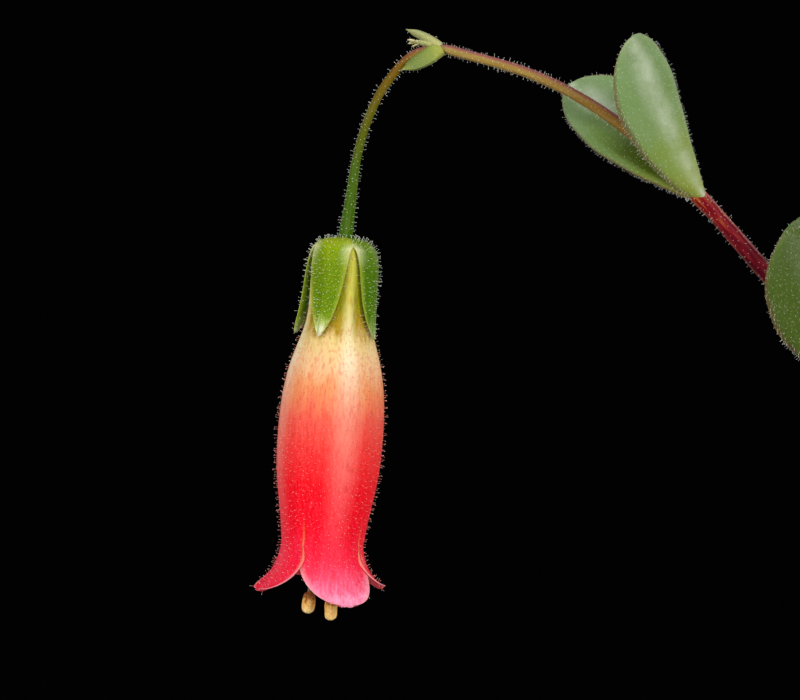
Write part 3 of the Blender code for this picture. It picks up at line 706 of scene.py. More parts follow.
    def stalk_radii(self, count: int) -> list[float]:
        """Give a flower stalk's radii: slim, and flared over its last stretch into the calyx."""
        return [self.stalk_radius + (self.stalk_flare - self.stalk_radius)
                * max(0.0, (i / (count - 1) - 0.6) / 0.4) ** 2 for i in range(count)]

    def shoot_route(self, shoot: Shoot, rng: random.Random) -> list[Vector]:
        """Lay a stem's route: upright in the soil, then bending over as it grows.

        Args:
            shoot: What sets its growth.
            rng: The draws.

        Returns:
            The route.
        """
        inner = POT_FOOT_RADIUS - POT_WALL + (POT_RADIUS - POT_FOOT_RADIUS) * (
            SOIL_EDGE_Z - POT_FLOOR) / (POT_HEIGHT - POT_FLOOR)
        surface = SOIL_CROWN_Z - (SOIL_CROWN_Z - SOIL_EDGE_Z) * (shoot.foot / inner) ** 2
        start = heading(shoot.azimuth, 0.0) * shoot.foot
        start.z = surface - FOOT_DEPTH
        route = [start, start + UP * (FOOT_DEPTH + 1 * MM)]
        count = max(4, round(shoot.length / self.ring_step))
        sway = rng.uniform(-self.sway, self.sway)
        for index in range(count):
            share = (index + 0.5) / count
            rise = 90 - (90 - shoot.end_rise) * share ** shoot.bending
            azimuth = shoot.azimuth + sway * sin(2 * pi * share)
            route.append(route[-1] + heading(azimuth, rise) * (shoot.length / count))
        return route

    def stalk_route(self, tip: Vector, azimuth: float, start_rise: float, length: float) -> list[Vector]:
        """Lay a flower stalk: it rises a little, arches over and ends pointing down.

        Args:
            tip: Where it starts, at the stem's tip.
            azimuth: Its direction in degrees.
            start_rise: Its rise at the start in degrees.
            length: Its length.

        Returns:
            The route.
        """
        route = [tip]
        for index in range(self.stalk_bands):
            share = (index + 0.5) / self.stalk_bands
            rise = start_rise + (self.stalk_drop - start_rise) * share ** 0.9
            route.append(route[-1] + heading(azimuth, rise) * (length / self.stalk_bands))
        return route

    def hero(self) -> Stem:
        """Grow the photographed stem: its route, its stalk, its flower, leaves and bracts.

        Returns:
            The stem.
        """
        route = smooth_route([Vector((x, 0.0, z)) * MM for x, z in self.HERO_STEM], 8 * MM)
        route.insert(0, route[0] - UP * (FOOT_DEPTH + 1 * MM))
        done = distances(route)
        girths = list(zip(*self.HERO_GIRTH))
        radii = [float(np.interp((done[-1] - d) / MM, *girths)) * MM for d in done]
        stem = Stem("flower_stem_1", route, radii)
        stalk = smooth_route([Vector((x, 0.0, z)) * MM for x, z in self.HERO_STALK], 2.5 * MM)
        stem.stalks.append(stalk[:-1] + [stalk[-1] + self.HERO_AXIS * 0.3 * MM])
        stem.flowers.append(Flower(stalk[-1], self.HERO_AXIS, heading(self.HERO_FRONT, 0.0),
                                   self.HERO_FLARES))
        tangent = (self.HERO_NODE_2 - self.HERO_NODE_3).normalized()
        for node, offset, width, shade, painted_shade in self.HERO_LEAVES:
            leaf = natural_leaf(node, Vector(offset) * MM, tangent, width * MM, 0.0, shade, painted_shade)
            stem.leaves.append(leaf)
        node = stem.route[-1]
        low, high = Vector((-2.6, -0.4, -1.5)) * MM, Vector((-2.3, 0.3, 1.2)) * MM
        stem.leaves.append(natural_leaf(node, low, -UP, 1.5 * MM, 0.0, Leaf.LOW_BRACT_SHADE))
        stem.leaves.append(natural_leaf(node, high, UP, 1.3 * MM, 0.0, 1.6))
        return stem

    def shoot(self, shoot: Shoot, rng: random.Random) -> Stem:
        """Grow a stem with its stalks and flowers, still without leaves.

        Args:
            shoot: What sets its growth.
            rng: The draws.

        Returns:
            The stem.
        """
        route = self.shoot_route(shoot, rng)
        done = distances(route)
        thinner = (self.flower_tip if shoot.flowers else self.leafy_tip) - self.foot_radius
        radii = [self.foot_radius + thinner * d / done[-1] for d in done]
        stem = Stem(shoot.name, route, radii, turns=shoot.turns)
        spreads = {0: (), 1: (0,), 2: (-self.stalk_fork, self.stalk_fork)}[shoot.flowers]
        tangent = (route[-1] - route[-2]).normalized()
        for index, spread in enumerate(spreads):
            length = rng.uniform(*self.stalk_lengths)
            start = route[-1] - tangent * (self.stalk_spacing * (index + 1))
            lift = shoot.end_rise + self.stalk_lift
            stalk = self.stalk_route(start, shoot.azimuth + spread, lift, length)
            axis = (stalk[-1] - stalk[-2]).normalized()
            front = heading(rng.uniform(0, 360), 0.0)
            flares = tuple((rng.uniform(*self.lobe_flares), rng.uniform(*self.lobe_lengths))
                           for _ in range(4))
            stem.stalks.append(stalk[:-1] + [stalk[-1] + axis * 0.3 * MM])
            stem.flowers.append(Flower(stalk[-1], axis, front, flares))
        if shoot.flowers:
            across = heading(shoot.azimuth + 90, 0.0)
            for side in (-1, 1):
                offset = (tangent + across * side * 0.8 + UP * 0.2).normalized() * 3.2 * MM
                stem.leaves.append(natural_leaf(route[-1], offset, tangent, 1.6 * MM, 0.5))
        return stem

    def rolled_leaf(self, point: Vector, tangent: Vector, roll: float, splay: float, length: float) -> Leaf:
        """Make a leaf at a stem's node.

        Args:
            point: The node.
            tangent: The stem's direction there.
            roll: How far it is rolled about the stem, in radians.
            splay: How far it is splayed away from the stem, in radians.
            length: Its length.

        Returns:
            The leaf.
        """
        across = tangent.cross(UP)
        across = across.normalized() if across.length > 0.05 else Vector((1.0, 0.0, 0.0))
        over = across.cross(tangent)
        outward = across * cos(roll) + over * sin(roll)
        along = tangent * cos(splay) + outward * sin(splay) + UP * self.leaf_rise
        width = (self.slim_leaf + self.leaf_broadening * length) * length
        return natural_leaf(point, along.normalized() * length, tangent, width, self.face_rise)

    def pair(self, stem: Stem, turns: Sequence[Optional[int]], distance: float, roll: float,
             length: float, rng: random.Random) -> None:
        """Grow an opposite pair of leaves.

        Args:
            stem: Their stem.
            turns: The number of each one's turn, or None where it has no room.
            distance: Their node's distance along the stem.
            roll: How far the pair is rolled about the stem, in radians.
            length: Their length.
            rng: The draws.
        """
        point, tangent = route_point(stem.route, distance)
        for half, number in enumerate(turns):
            turn = roll + pi * half + rng.uniform(-self.leaf_roll, self.leaf_roll)
            splay = radians(rng.uniform(*self.leaf_splay))
            size = length * rng.uniform(*self.leaf_sizes)
            if number is not None:
                more_roll, more_splay, scale = self.LEAF_TURNS[number]
                stem.leaves.append(self.rolled_leaf(point, tangent, turn + radians(more_roll),
                                                    splay + radians(more_splay), size * scale))

    def leaf_out(self, stems: Sequence[Stem]) -> None:
        """Grow the leaf pairs of every stem.

        Args:
            stems: The stems.
        """
        rng = random.Random(SEED + 1)
        for number, stem in enumerate(stems):
            total = distances(stem.route)[-1]
            bare = self.flower_bare_tip if stem.flowers else self.leafy_bare_tip
            first = FOOT_DEPTH + self.first_pair
            last = total - (self.hero_bare_tip if number == 0 else bare)
            loss = self.flower_leaf_loss if stem.flowers else self.leafy_leaf_loss
            pairs = max(2, round((last - first) / self.leaf_spacing) + 1)
            turns = stem.turns + (0,) * (2 * pairs - len(stem.turns))
            for pair in range(pairs):
                share = pair / (pairs - 1)
                length = self.longest_leaf - loss * share ** self.leaf_loss_power
                self.pair(stem, turns[2 * pair:2 * pair + 2], first + (last - first) * share,
                          pi / 2 * pair + self.stem_turn * number, length, rng)

    def grow(self) -> list[Stem]:
        """Grow the whole plant.

        Returns:
            Its stems, the photographed one first.
        """
        rng = random.Random(SEED)
        stems = [self.hero()] + [self.shoot(shoot, rng) for shoot in self.SHOOTS]
        self.leaf_out(stems)
        return stems


# Finishes


def linear(colour: str) -> tuple[float, float, float, float]:
    """Turn an sRGB hex colour into linear light."""
    parts = [int(colour[i:i + 2], 16) / 255 for i in (1, 3, 5)]
    return (*(p / 12.92 if p <= 0.04045 else ((p + 0.055) / 1.055) ** 2.4 for p in parts), 1.0)


@dataclass
class Recipe:
    """A material while it is mixed: nodes feed each other, and at the end its Principled shader."""

    name: str

    def __post_init__(self) -> None:
        """Start the material."""
        self.made = bpy.data.materials.new(self.name)
        self.made.use_nodes = True
        self.tree = self.made.node_tree

    def fill(self, sockets: Iterable[NodeSocket], values: Iterable[Any]) -> None:
        """Give each socket its value, its hex colour or its link from another socket.

        Args:
            sockets: The sockets.
            values: What each gets.
        """
        for socket, value in zip(sockets, values):
            if isinstance(value, NodeSocket):
                self.tree.links.new(value, socket)
            else:
                socket.default_value = linear(value) if isinstance(value, str) else value

    def add(self, kind: str, *values: Any, stops: Sequence[tuple[float, str]] = (),
            out: Optional[str] = None, **named: Any) -> NodeSocket:
        """Add a node with its settings and its links.

        Args:
            kind: The node's type, without its ShaderNode prefix.
            values: What its first inputs get, in their order.
            stops: A colour ramp's stops.
            out: The output that is wanted, if it isn't the first.
            named: Other inputs, which start with a capital, and the node's own settings.

        Returns:
            The wanted output.
        """
        node = self.tree.nodes.new("ShaderNode" + kind)
        settings = {"data_type": "RGBA"} if kind == "Mix" else {}
        settings.update((key, value) for key, value in named.items() if key[0].islower())
        for key, value in settings.items():
            setattr(node, key, value)
        elements = node.color_ramp.elements if stops else ()
        for _ in stops[2:]:
            elements.new(0.5)
        for element, (position, colour) in zip(elements, stops):
            element.position, element.color = position, linear(colour)
        self.fill((socket for socket in node.inputs if socket.enabled), values)
        inputs = {key: value for key, value in named.items() if key[0].isupper()}
        self.fill((node.inputs[key] for key in inputs), inputs.values())
        return node.outputs[out] if out else next(s for s in node.outputs if s.enabled)

    def done(self, inputs: dict[str, Any]) -> Material:
        """Set the shader's own sockets, and give the material.

        Args:
            inputs: What its sockets get, by their names.

        Returns:
            The material.
        """
        shader = self.tree.nodes["Principled BSDF"]
        self.fill((shader.inputs[key] for key in inputs), inputs.values())
        return self.made


@dataclass(frozen=True)
class PetalFinish:
    """Living petal tissue: thin and juicy, satin, and lit through from behind.

    The colour runs from the green neck through cream and peach to coral red and pink lobes. Fine streaks
    along the petal, one every 0.3 mm, break up the change.
    """

    inside: bool = False

    STOPS = (
        (0.0, "#7c8c00"), (0.17, "#8a8e00"), (0.22, "#ab9412"), (0.262, "#e6cf8e"), (0.31, "#efc596"),
        (0.37, "#f09a66"), (0.45, "#f45f50"), (0.53, "#f63638"), (0.62, "#f80a22"), (0.72, "#f80428"),
        (0.80, "#f82046"), (0.842, "#f84c74"), (0.875, "#f87aa6"), (0.905, "#f8a0c8"),
    )
    INNER_STOPS = ((0.0, "#cfd58a"), (0.3, "#ecd49a"), (0.55, "#e8604c"), (0.75, "#d81f33"),
                   (0.85, "#da2442"), (0.96, "#ee6d8f"))

    def build(self) -> Material:
        """Make the material.

        Returns:
            The material.
        """
        recipe = Recipe("petal_tissue_inside" if self.inside else "petal_tissue_satin")
        add = recipe.add
        along, across, blush_and_light = (add("Attribute", out="Fac", attribute_name=name) for name in LAYERS)
        local = add("Attribute", out="Vector", attribute_name="local")
        grain = add("Mapping", local, Scale=(1, 1, 0.09))
        streak = add("TexNoise", grain, Scale=3.3, Detail=3.0, Roughness=0.6)
        shift = add("MapRange", streak, 0.3, 0.7, -0.022, 0.022)
        # Each lobe goes its own share of the way to pink: partly its own colour, partly painted light and
        # shade
        beyond = add("Math", along, 20.6 / 27, operation="SUBTRACT", use_clamp=True)
        less = add("Math", blush_and_light, 1.0, operation="SUBTRACT")
        held = add("Math", beyond, less, along, operation="MULTIPLY_ADD")
        reach = add("Math", held, shift, operation="ADD")
        colour = add("ValToRGB", reach, stops=self.INNER_STOPS if self.inside else self.STOPS)
        # A paler band runs down the middle of each petal's tube: partly the midrib's own colour, partly a
        # painted highlight
        breadth = add("MapRange", along, 0.2, 0.4, 0.36, 0.58)
        aside = add("Math", across, breadth, operation="DIVIDE")
        middle = add("MapRange", aside, 0.0, 1.0, 0.9, 0.0, interpolation_type="SMOOTHSTEP")
        fade = add("ValToRGB", along, stops=((0.12, "#ffffff"), (0.3, "#f4f4f4"), (0.42, "#b8b8b8"),
                                             (0.6, "#a8a8a8"), (0.84, "#303030")))
        amount = add("Math", middle, fade, operation="MULTIPLY")
        stripe_and_highlight = add("ValToRGB", along, stops=((0.06, "#c4c64c"), (0.15, "#d4d064"), (0.22, "#ece4ae"),
                                               (0.3, "#f4eacc"), (0.38, "#f0d0b8"), (0.48, "#f2b6a0"),
                                               (0.64, "#f28e94"), (0.82, "#f4668c")))
        striped_and_highlit = add("Mix", amount, colour, stripe_and_highlight)
        # Cells of 0.12 mm lighten and darken the skin a little
        cells = add("TexNoise", local, Scale=8.0, Detail=2.0)
        speck = add("MapRange", cells, 0.5, 0.7, 0.0, 0.35)
        speckled = add("Mix", speck, striped_and_highlit, "#90606a", blend_type="SCREEN")
        # Fine dark lines 0.15 mm apart run down the tube, broken into dashes
        thread = add("Mapping", local, Scale=(1, 1, 0.22))
        lines = add("TexNoise", thread, Scale=7.0, Detail=2.0)
        dark = add("MapRange", lines, 0.5, 0.7, 0.0, 0.5)
        deep = add("Mix", 1.0, speckled, "#e4968c", blend_type="MULTIPLY")
        lined = add("Mix", dark, speckled, deep)
        # The seams above the mouth are a dull orange, and the lobes' rims pale pink
        inset = add("MapRange", held, 0.76, 0.86, 0.95, 0.75)
        rim = add("MapRange", across, inset, 1.0, 0.0, 0.7)
        low = add("MapRange", along, 0.69, 0.76)
        edge = add("Math", rim, low, operation="MULTIPLY")
        pale = add("ValToRGB", along, stops=((0.70, "#d87838"), (0.78, "#f0a068"), (0.84, "#f9a8b8")))
        edged = add("Mix", edge, lined, pale)
        bump = add("Bump", Height=cells, Strength=0.35, Distance=0.03 * MM)
        ridge = add("Bump", Height=streak, Strength=0.5, Distance=0.05 * MM, Normal=bump)
        gloss = add("MapRange", streak, 0.3, 0.7, 0.4, 0.52)
        return recipe.done({"Base Color": edged, "Normal": ridge, "Roughness": gloss, "IOR": 1.36,
                            "Specular IOR Level": 0.1, "Subsurface Weight": 0.25,
                            "Subsurface Radius": (1.0, 0.45, 0.3), "Subsurface Scale": 0.6 * MM})


@dataclass(frozen=True)
class SepalFinish:
    """Living sepal tissue: fleshy bright green, paler at its root and whitish at its points."""

    STOPS = ((0.0, "#94a818"), (0.1, "#7c9a04"), (0.3, "#668700"), (0.6, "#5f8300"), (0.78, "#6b8e05"),
             (0.87, "#a5ba5c"), (1.0, "#dbe4c2"))

    def build(self) -> Material:
        """Make the material.

        Returns:
            The material.
        """
        recipe = Recipe("sepal_tissue_fleshy")
        add = recipe.add
        along, across, tone = (add("Attribute", out="Fac", attribute_name=name) for name in LAYERS)
        local = add("Attribute", out="Vector", attribute_name="local")
        grain = add("Mapping", local, Scale=(1, 1, 0.2))
        streak = add("TexNoise", grain, Scale=3.0, Detail=3.0)
        shift = add("MapRange", streak, 0.3, 0.7, -0.09, 0.09)
        reach = add("Math", along, shift, operation="ADD")
        colour = add("ValToRGB", reach, stops=self.STOPS)
        # Cells of 0.15 mm show through the skin as lighter dots
        cells = add("TexVoronoi", local, Scale=6.5)
        dots = add("MapRange", cells, 0.1, 0.5, 0.5, 0.0)
        dotted = add("Mix", dots, colour, "#a6b62a")
        depth = add("Math", tone, 0.6, operation="MULTIPLY")
        deep = add("Mix", depth, dotted, "#2f6400")
        margin = add("MapRange", across, 0.72, 1.0, 0.0, 0.5)
        edged = add("Mix", margin, deep, "#b4c048")
        # Painted highlight: a whitish glint is painted where two sepals part near their root
        seam_highlight_mask = add("MapRange", across, 0.45, 1.0, 0.0, 0.8)
        high = add("ValToRGB", along,
                   stops=((0.04, "#000000"), (0.1, "#ffffff"), (0.16, "#c0c0c0"), (0.3, "#000000")))
        seam_highlight_share = add("Math", seam_highlight_mask, high, operation="MULTIPLY")
        seam_highlit = add("Mix", seam_highlight_share, edged, "#dfe5b8")
        bump = add("Bump", Height=cells, Strength=0.7, Distance=0.06 * MM, invert=True)
        return recipe.done({"Base Color": seam_highlit, "Normal": bump, "Roughness": 0.42, "IOR": 1.36,
                            "Specular IOR Level": 0.15, "Subsurface Weight": 0.2,
                            "Subsurface Radius": (0.6, 1.0, 0.25), "Subsurface Scale": 0.6 * MM})


@dataclass(frozen=True)
class StemFinish:
    """Young stem skin: crimson below, orange brown over the arch and green on the flower stalk.

    The upper side is purple: partly its own flush, partly painted light from above.
    """

    STOPS = (
        (0.0, "#6c5a36"), (0.12, "#6f6a35"), (0.25, "#6c3424"), (0.38, "#380010"), (0.47, "#400014"),
        (0.505, "#780a1a"), (0.522, "#9a4a14"), (0.54, "#8c6a2c"), (0.60, "#9c8648"), (0.66, "#75540a"),
        (0.76, "#5e5804"), (0.88, "#3f6002"), (1.0, "#3a6202"),
    )

    def build(self) -> Material:
        """Make the material.

        Returns:
            The material.
        """
        recipe = Recipe("stem_skin_young")
        add = recipe.add
        along = add("Attribute", out="Fac", attribute_name="along")
        local = add("Attribute", out="Vector", attribute_name="local")
        grain = add("Mapping", local, Scale=(1, 1, 0.12))
        streak = add("TexNoise", grain, Scale=4.0, Detail=3.0)
        shift = add("MapRange", streak, 0.3, 0.7, -0.02, 0.02)
        reach = add("Math", along, shift, operation="ADD")
        colour = add("ValToRGB", reach, stops=self.STOPS)
        # Painted top light: skin that faces up gets the purple flush over the arch, partly its own colour
        # and partly painted light
        facing = add("TexCoord", out="Normal")
        upper = add("SeparateXYZ", facing, out="Z")
        upper_flush_and_light = add("MapRange", upper, 0.1, 0.75, 0.0, 0.85)
        arch = add("ValToRGB", along,
                   stops=((0.5, "#000000"), (0.53, "#ffffff"), (0.62, "#ffffff"), (0.7, "#404040")))
        amount = add("Math", upper_flush_and_light, arch, operation="MULTIPLY")
        flushed_and_lit = add("Mix", amount, colour, "#8a4858")
        pale = add("MapRange", streak, 0.5, 0.75, 0.0, 0.35)
        light = add("Mix", 1.0, flushed_and_lit, "#583c38", blend_type="SCREEN")
        streaked = add("Mix", pale, flushed_and_lit, light)
        bump = add("Bump", Height=streak, Strength=0.5, Distance=0.06 * MM)
        return recipe.done({"Base Color": streaked, "Normal": bump, "Roughness": 0.4, "IOR": 1.36,
                            "Specular IOR Level": 0.15, "Subsurface Weight": 0.12,
                            "Subsurface Radius": (1.0, 0.5, 0.3), "Subsurface Scale": 0.4 * MM})


@dataclass(frozen=True)
class LeafFinish:
    """Succulent leaf skin: grey green under a thin bloom of wax, yellow green at its foot.

    The margin is a thin reddish line, and the broad middle is paler: partly wax bloom, partly painted
    highlight.
    """

    STOPS = ((0.0, "#8c8c18"), (0.12, "#86921e"), (0.28, "#7c9430"), (0.5, "#6f9052"), (0.8, "#729462"),
             (1.0, "#869e7c"))

    def build(self) -> Material:
        """Make the material.

        Returns:
            The material.
        """
        recipe = Recipe("leaf_skin_waxy")
        add = recipe.add
        along, across, tone = (add("Attribute", out="Fac", attribute_name=name) for name in LAYERS)
        local = add("Attribute", out="Vector", attribute_name="local")
        object_space = add("TexCoord", out="Object")
        cloud = add("TexNoise", local, Scale=0.35, Detail=4.0, Roughness=0.6)
        shift = add("MapRange", cloud, 0.3, 0.7, -0.12, 0.12)
        reach = add("Math", along, shift, operation="ADD")
        colour = add("ValToRGB", reach, stops=self.STOPS)
        # Each leaf has its own shade, from fresh to grey green
        aged = add("ValToRGB", tone,
                   stops=((0.0, "#3f5402"), (0.3, "#5e7c26"), (0.7, "#729250"), (1.0, "#5c7c4e")))
        own = add("MapRange", tone, 0.0, 0.5, 0.85, 0.35)
        shaded = add("Mix", own, colour, aged)
        width = add("Math", across, operation="ABSOLUTE")
        # Painted highlight: the pale band down the middle is partly the wax bloom and partly a highlight
        # painted on the convex blade
        band = add("MapRange", width, 0.0, 0.6, 0.95, 0.1, interpolation_type="SMOOTHSTEP")
        bloom = add("MapRange", cloud, 0.38, 0.62, 0.25, 0.8)
        # Only leaves in their prime wear the full bloom
        prime = add("MapRange", tone, 0.05, 0.5, 0.15, 1.0)
        primed = add("Math", bloom, prime, operation="MULTIPLY")
        wax = add("Math", band, primed, operation="MULTIPLY")
        bloomed_and_highlit = add("Mix", wax, shaded, "#c4d4be")
        # Cells of 0.2 mm let light through as small clear dots
        cells = add("TexVoronoi", object_space, Scale=1 / (0.2 * MM))
        dots = add("MapRange", cells, 0.1, 0.4, 0.22, 0.0)
        dotted = add("Mix", dots, bloomed_and_highlit, "#a9bb84")
        margin = add("MapRange", width, 0.93, 1.0, 0.0, 0.65)
        edged = add("Mix", margin, dotted, "#6e4a38")
        # Bracts and stunted buds, whose shade is above 1, are yellow green to whitish
        young = add("ValToRGB", reach,
                    stops=((0.0, "#8a9820"), (0.3, "#648000"), (0.75, "#4a6c00"), (1.0, "#7a9020")))
        pale = add("MapRange", tone, 1.3, 2.0, 0.0, 0.95)
        whitened = add("Mix", pale, young, "#e9e3b6")
        bract = add("MapRange", tone, 1.1, 1.2)
        final = add("Mix", bract, edged, whitened)
        bump = add("Bump", Height=cells, Strength=0.3, Distance=0.04 * MM, invert=True)
        return recipe.done({"Base Color": final, "Normal": bump, "Roughness": 0.5, "IOR": 1.36,
                            "Specular IOR Level": 0.15, "Subsurface Weight": 0.12,
                            "Subsurface Radius": (0.6, 1.0, 0.3), "Subsurface Scale": 0.8 * MM})


@dataclass(frozen=True)
class HairFinish:
    """Glandular hair: a clear thread with a sticky bead of resin, painted pale: partly its own colour,
    partly the glint it catches.
    """

    name: str = "glandular_hair"
    # Near-white shaft and white bead: partly the hair's own pale colour and partly a painted glint
    root: str = "#d8d8b0"
    shaft: str = "#f4f2e0"
    bead: str = "#ffffff"

    def build(self) -> Material:
        """Make the material.

        Returns:
            The material.
        """
        recipe = Recipe(self.name)
        add = recipe.add
        along = add("Attribute", out="Fac", attribute_name="along")
        colour = add("ValToRGB", along, stops=((0.0, self.root), (0.7, self.shaft), (0.95, self.bead)))
        return recipe.done({"Base Color": colour, "Roughness": 0.25, "IOR": 1.45, "Subsurface Weight": 0.3,
                            "Subsurface Scale": 0.2 * MM})


@dataclass(frozen=True)
class AntherFinish:
    """Anther: mealy tan pollen sacs, browner where they are closed, on a pale green filament."""

    def build(self) -> Material:
        """Make the material.

        Returns:
            The material.
        """
        recipe = Recipe("pollen_mealy")
        add = recipe.add
        along = add("Attribute", out="Fac", attribute_name="along")
        local = add("Attribute", out="Vector", attribute_name="local")
        grains = add("TexVoronoi", local, Scale=9.0)
        blot = add("TexNoise", local, Scale=2.6, Detail=3.0)
        shift = add("MapRange", blot, 0.3, 0.7, -0.16, 0.16)
        reach = add("Math", along, shift, operation="ADD")
        colour = add("ValToRGB", reach, stops=((0.0, "#cdd39a"), (0.4, "#d8c08a"), (0.5, "#703008"),
                                               (0.64, "#b8742a"), (0.74, "#f8c060"), (1.0, "#ffe098")))
        dots = add("MapRange", grains, 0.0, 0.5, 0.35, 0.0)
        mealy = add("Mix", dots, colour, "#f6e2b0")
        bump = add("Bump", Height=grains, Strength=0.7, Distance=0.05 * MM, invert=True)
        return recipe.done({"Base Color": mealy, "Normal": bump, "Roughness": 0.75})


@dataclass(frozen=True)
class TerracottaFinish:
    """Terracotta: thrown and fired red clay, unglazed, with a chalky bloom low on the wall and a paler
    rubbed rim.
    """

    def build(self) -> Material:
        """Make the material.

        Returns:
            The material.
        """
        recipe = Recipe("terracotta_unglazed")
        add = recipe.add
        where = add("TexCoord", out="Object")
        blot = add("TexNoise", where, Scale=1 / (22 * MM), Detail=5.0, Roughness=0.62)
        grit = add("TexNoise", where, Scale=1 / (1.1 * MM), Detail=3.0)
        # Turning marks 2.2 mm apart run round the wall
        flat = add("Mapping", where, Scale=(0.02, 0.02, 1))
        marks = add("TexNoise", flat, Scale=1 / (2.2 * MM), Detail=2.0)
        clay = add("ValToRGB", blot, stops=((0.3, "#a2573a"), (0.5, "#b76a47"), (0.7, "#c67f5a")))
        speck = add("MapRange", grit, 0.55, 0.75, 0.0, 0.4)
        specked = add("Mix", speck, clay, "#d59a78")
        height = add("SeparateXYZ", where, out="Z")
        # Lime from watering dries to a pale bloom low on the wall
        lime = add("MapRange", height, 2 * MM, 40 * MM, 0.35, 0.0)
        patchy = add("MapRange", blot, 0.42, 0.62)
        chalk = add("Math", lime, patchy, operation="MULTIPLY")
        chalky = add("Mix", chalk, specked, "#d9c3b0")
        worn = add("MapRange", height, 90.5 * MM, 93 * MM, 0.0, 0.35)
        rubbed = add("Mix", worn, chalky, "#cf9273")
        turned = add("Bump", Height=marks, Strength=0.35, Distance=0.25 * MM)
        grainy = add("Bump", Height=grit, Strength=0.5, Distance=0.15 * MM, Normal=turned)
        dry = add("MapRange", blot, 0.3, 0.7, 0.78, 0.95)
        return recipe.done({"Base Color": rubbed, "Normal": grainy, "Roughness": dry})


@dataclass(frozen=True)
class SoilFinish:
    """Potting soil or one of its bits: rough and matt, and darker where it is damp."""

    name: str
    dark: str
    light: str
    grain: float

    def build(self) -> Material:
        """Make the material.

        Returns:
            The material.
        """
        recipe = Recipe(self.name)
        add = recipe.add
        where = add("TexCoord", out="Object")
        clod = add("TexNoise", where, Scale=1 / (4 * self.grain), Detail=6.0, Roughness=0.7)
        colour = add("ValToRGB", clod, stops=((0.3, self.dark), (0.72, self.light)))
        fine = add("TexNoise", where, Scale=1 / self.grain, Detail=3.0)
        bump = add("Bump", Height=fine, Strength=0.8, Distance=0.4 * self.grain)
        return recipe.done({"Base Color": colour, "Normal": bump, "Roughness": 0.92})


@dataclass(frozen=True)
class FloorFinish:
    """Painted table top: plain, pale and matt, with a faint unevenness."""

    def build(self) -> Material:
        """Make the material.

        Returns:
            The material.
        """
        recipe = Recipe("painted_board_matt")
        add = recipe.add
        where = add("TexCoord", out="Object")
        cloud = add("TexNoise", where, Scale=9.0)
        colour = add("ValToRGB", cloud, stops=((0.3, "#b3b0aa"), (0.7, "#bab7b1")))
        return recipe.done({"Base Color": colour, "Roughness": 0.85})


@dataclass
class Palette:
    """All the part's materials, made once."""

    petal: Material = field(default_factory=PetalFinish().build)
    petal_inside: Material = field(default_factory=PetalFinish(inside=True).build)
    sepal: Material = field(default_factory=SepalFinish().build)
    stem: Material = field(default_factory=StemFinish().build)
    leaf: Material = field(default_factory=LeafFinish().build)
    hair: Material = field(default_factory=HairFinish().build)
    petal_hair: Material = field(default_factory=HairFinish("glandular_hair_rosy",
                                                            "#f8505c", "#fa8c8c", "#fdd4cc").build)
    anther: Material = field(default_factory=AntherFinish().build)
    terracotta: Material = field(default_factory=TerracottaFinish().build)
    soil: Material = field(default_factory=SoilFinish("peat_soil_damp",
                                                      "#1d130d", "#4a3424", 0.5 * MM).build)
    bark: Material = field(default_factory=SoilFinish("composted_bark",
                                                      "#2b1a10", "#6b4a30", 0.4 * MM).build)
    perlite: Material = field(default_factory=SoilFinish("perlite", "#b9b4a8", "#efece4", 0.3 * MM).build)


# Many small things


def template_arrays(bm: BMesh) -> tuple[np.ndarray, np.ndarray]:
    """Read a small bmesh as arrays of points and triangles, and free it.

    Args:
        bm: The bmesh.

    Returns:
        Its points and triangles.
    """
    ops.triangulate(bm, faces=bm.faces)
    bm.verts.index_update()
    points = np.array([vert.co[:] for vert in bm.verts], np.float64)
    faces = np.array([[vert.index for vert in face.verts] for face in bm.faces], np.int64)
    bm.free()
    return points, faces


def tiled(name: str, template: tuple[np.ndarray, np.ndarray], axes: np.ndarray, places: np.ndarray,
          jitter: float = 0.0, seed: int = 0) -> Mesh:
    """Repeat a small shape many times in one mesh.

    Args:
        name: The mesh's name.
        template: The shape's points and triangles.
        axes: For each copy, its three axes as rows.
        places: For each copy, its place.
        jitter: How far each point is moved at random, as a share of the shape.
        seed: Seed of that.

    Returns:
        The mesh, whose layer "along" holds the shape's own z.
    """
    points, faces = template
    count, size = len(places), len(points)
    shapes = np.repeat(points[None], count, axis=0)
    if jitter:
        shapes = shapes * (1 + np.random.default_rng(seed).uniform(-jitter, jitter, (count, size, 1)))
    verts = np.einsum("nvi,nij->nvj", shapes, axes) + places[:, None, :]
    loops = (faces[None] + (np.arange(count) * size)[:, None, None]).reshape(-1)
    mesh = bpy.data.meshes.new(name)
    mesh.vertices.add(count * size)
    mesh.vertices.foreach_set("co", verts.reshape(-1).astype(np.float32))
    mesh.loops.add(len(loops))
    mesh.loops.foreach_set("vertex_index", loops.astype(np.int32))
    mesh.polygons.add(len(loops) // 3)
    mesh.polygons.foreach_set("loop_start", np.arange(0, len(loops), 3, dtype=np.int32))
    mesh.update(calc_edges=True)
    along = mesh.attributes.new("along", "FLOAT", "POINT")
    along.data.foreach_set("value", np.tile(points[:, 2], count).astype(np.float32))
    mesh.validate()
    return mesh


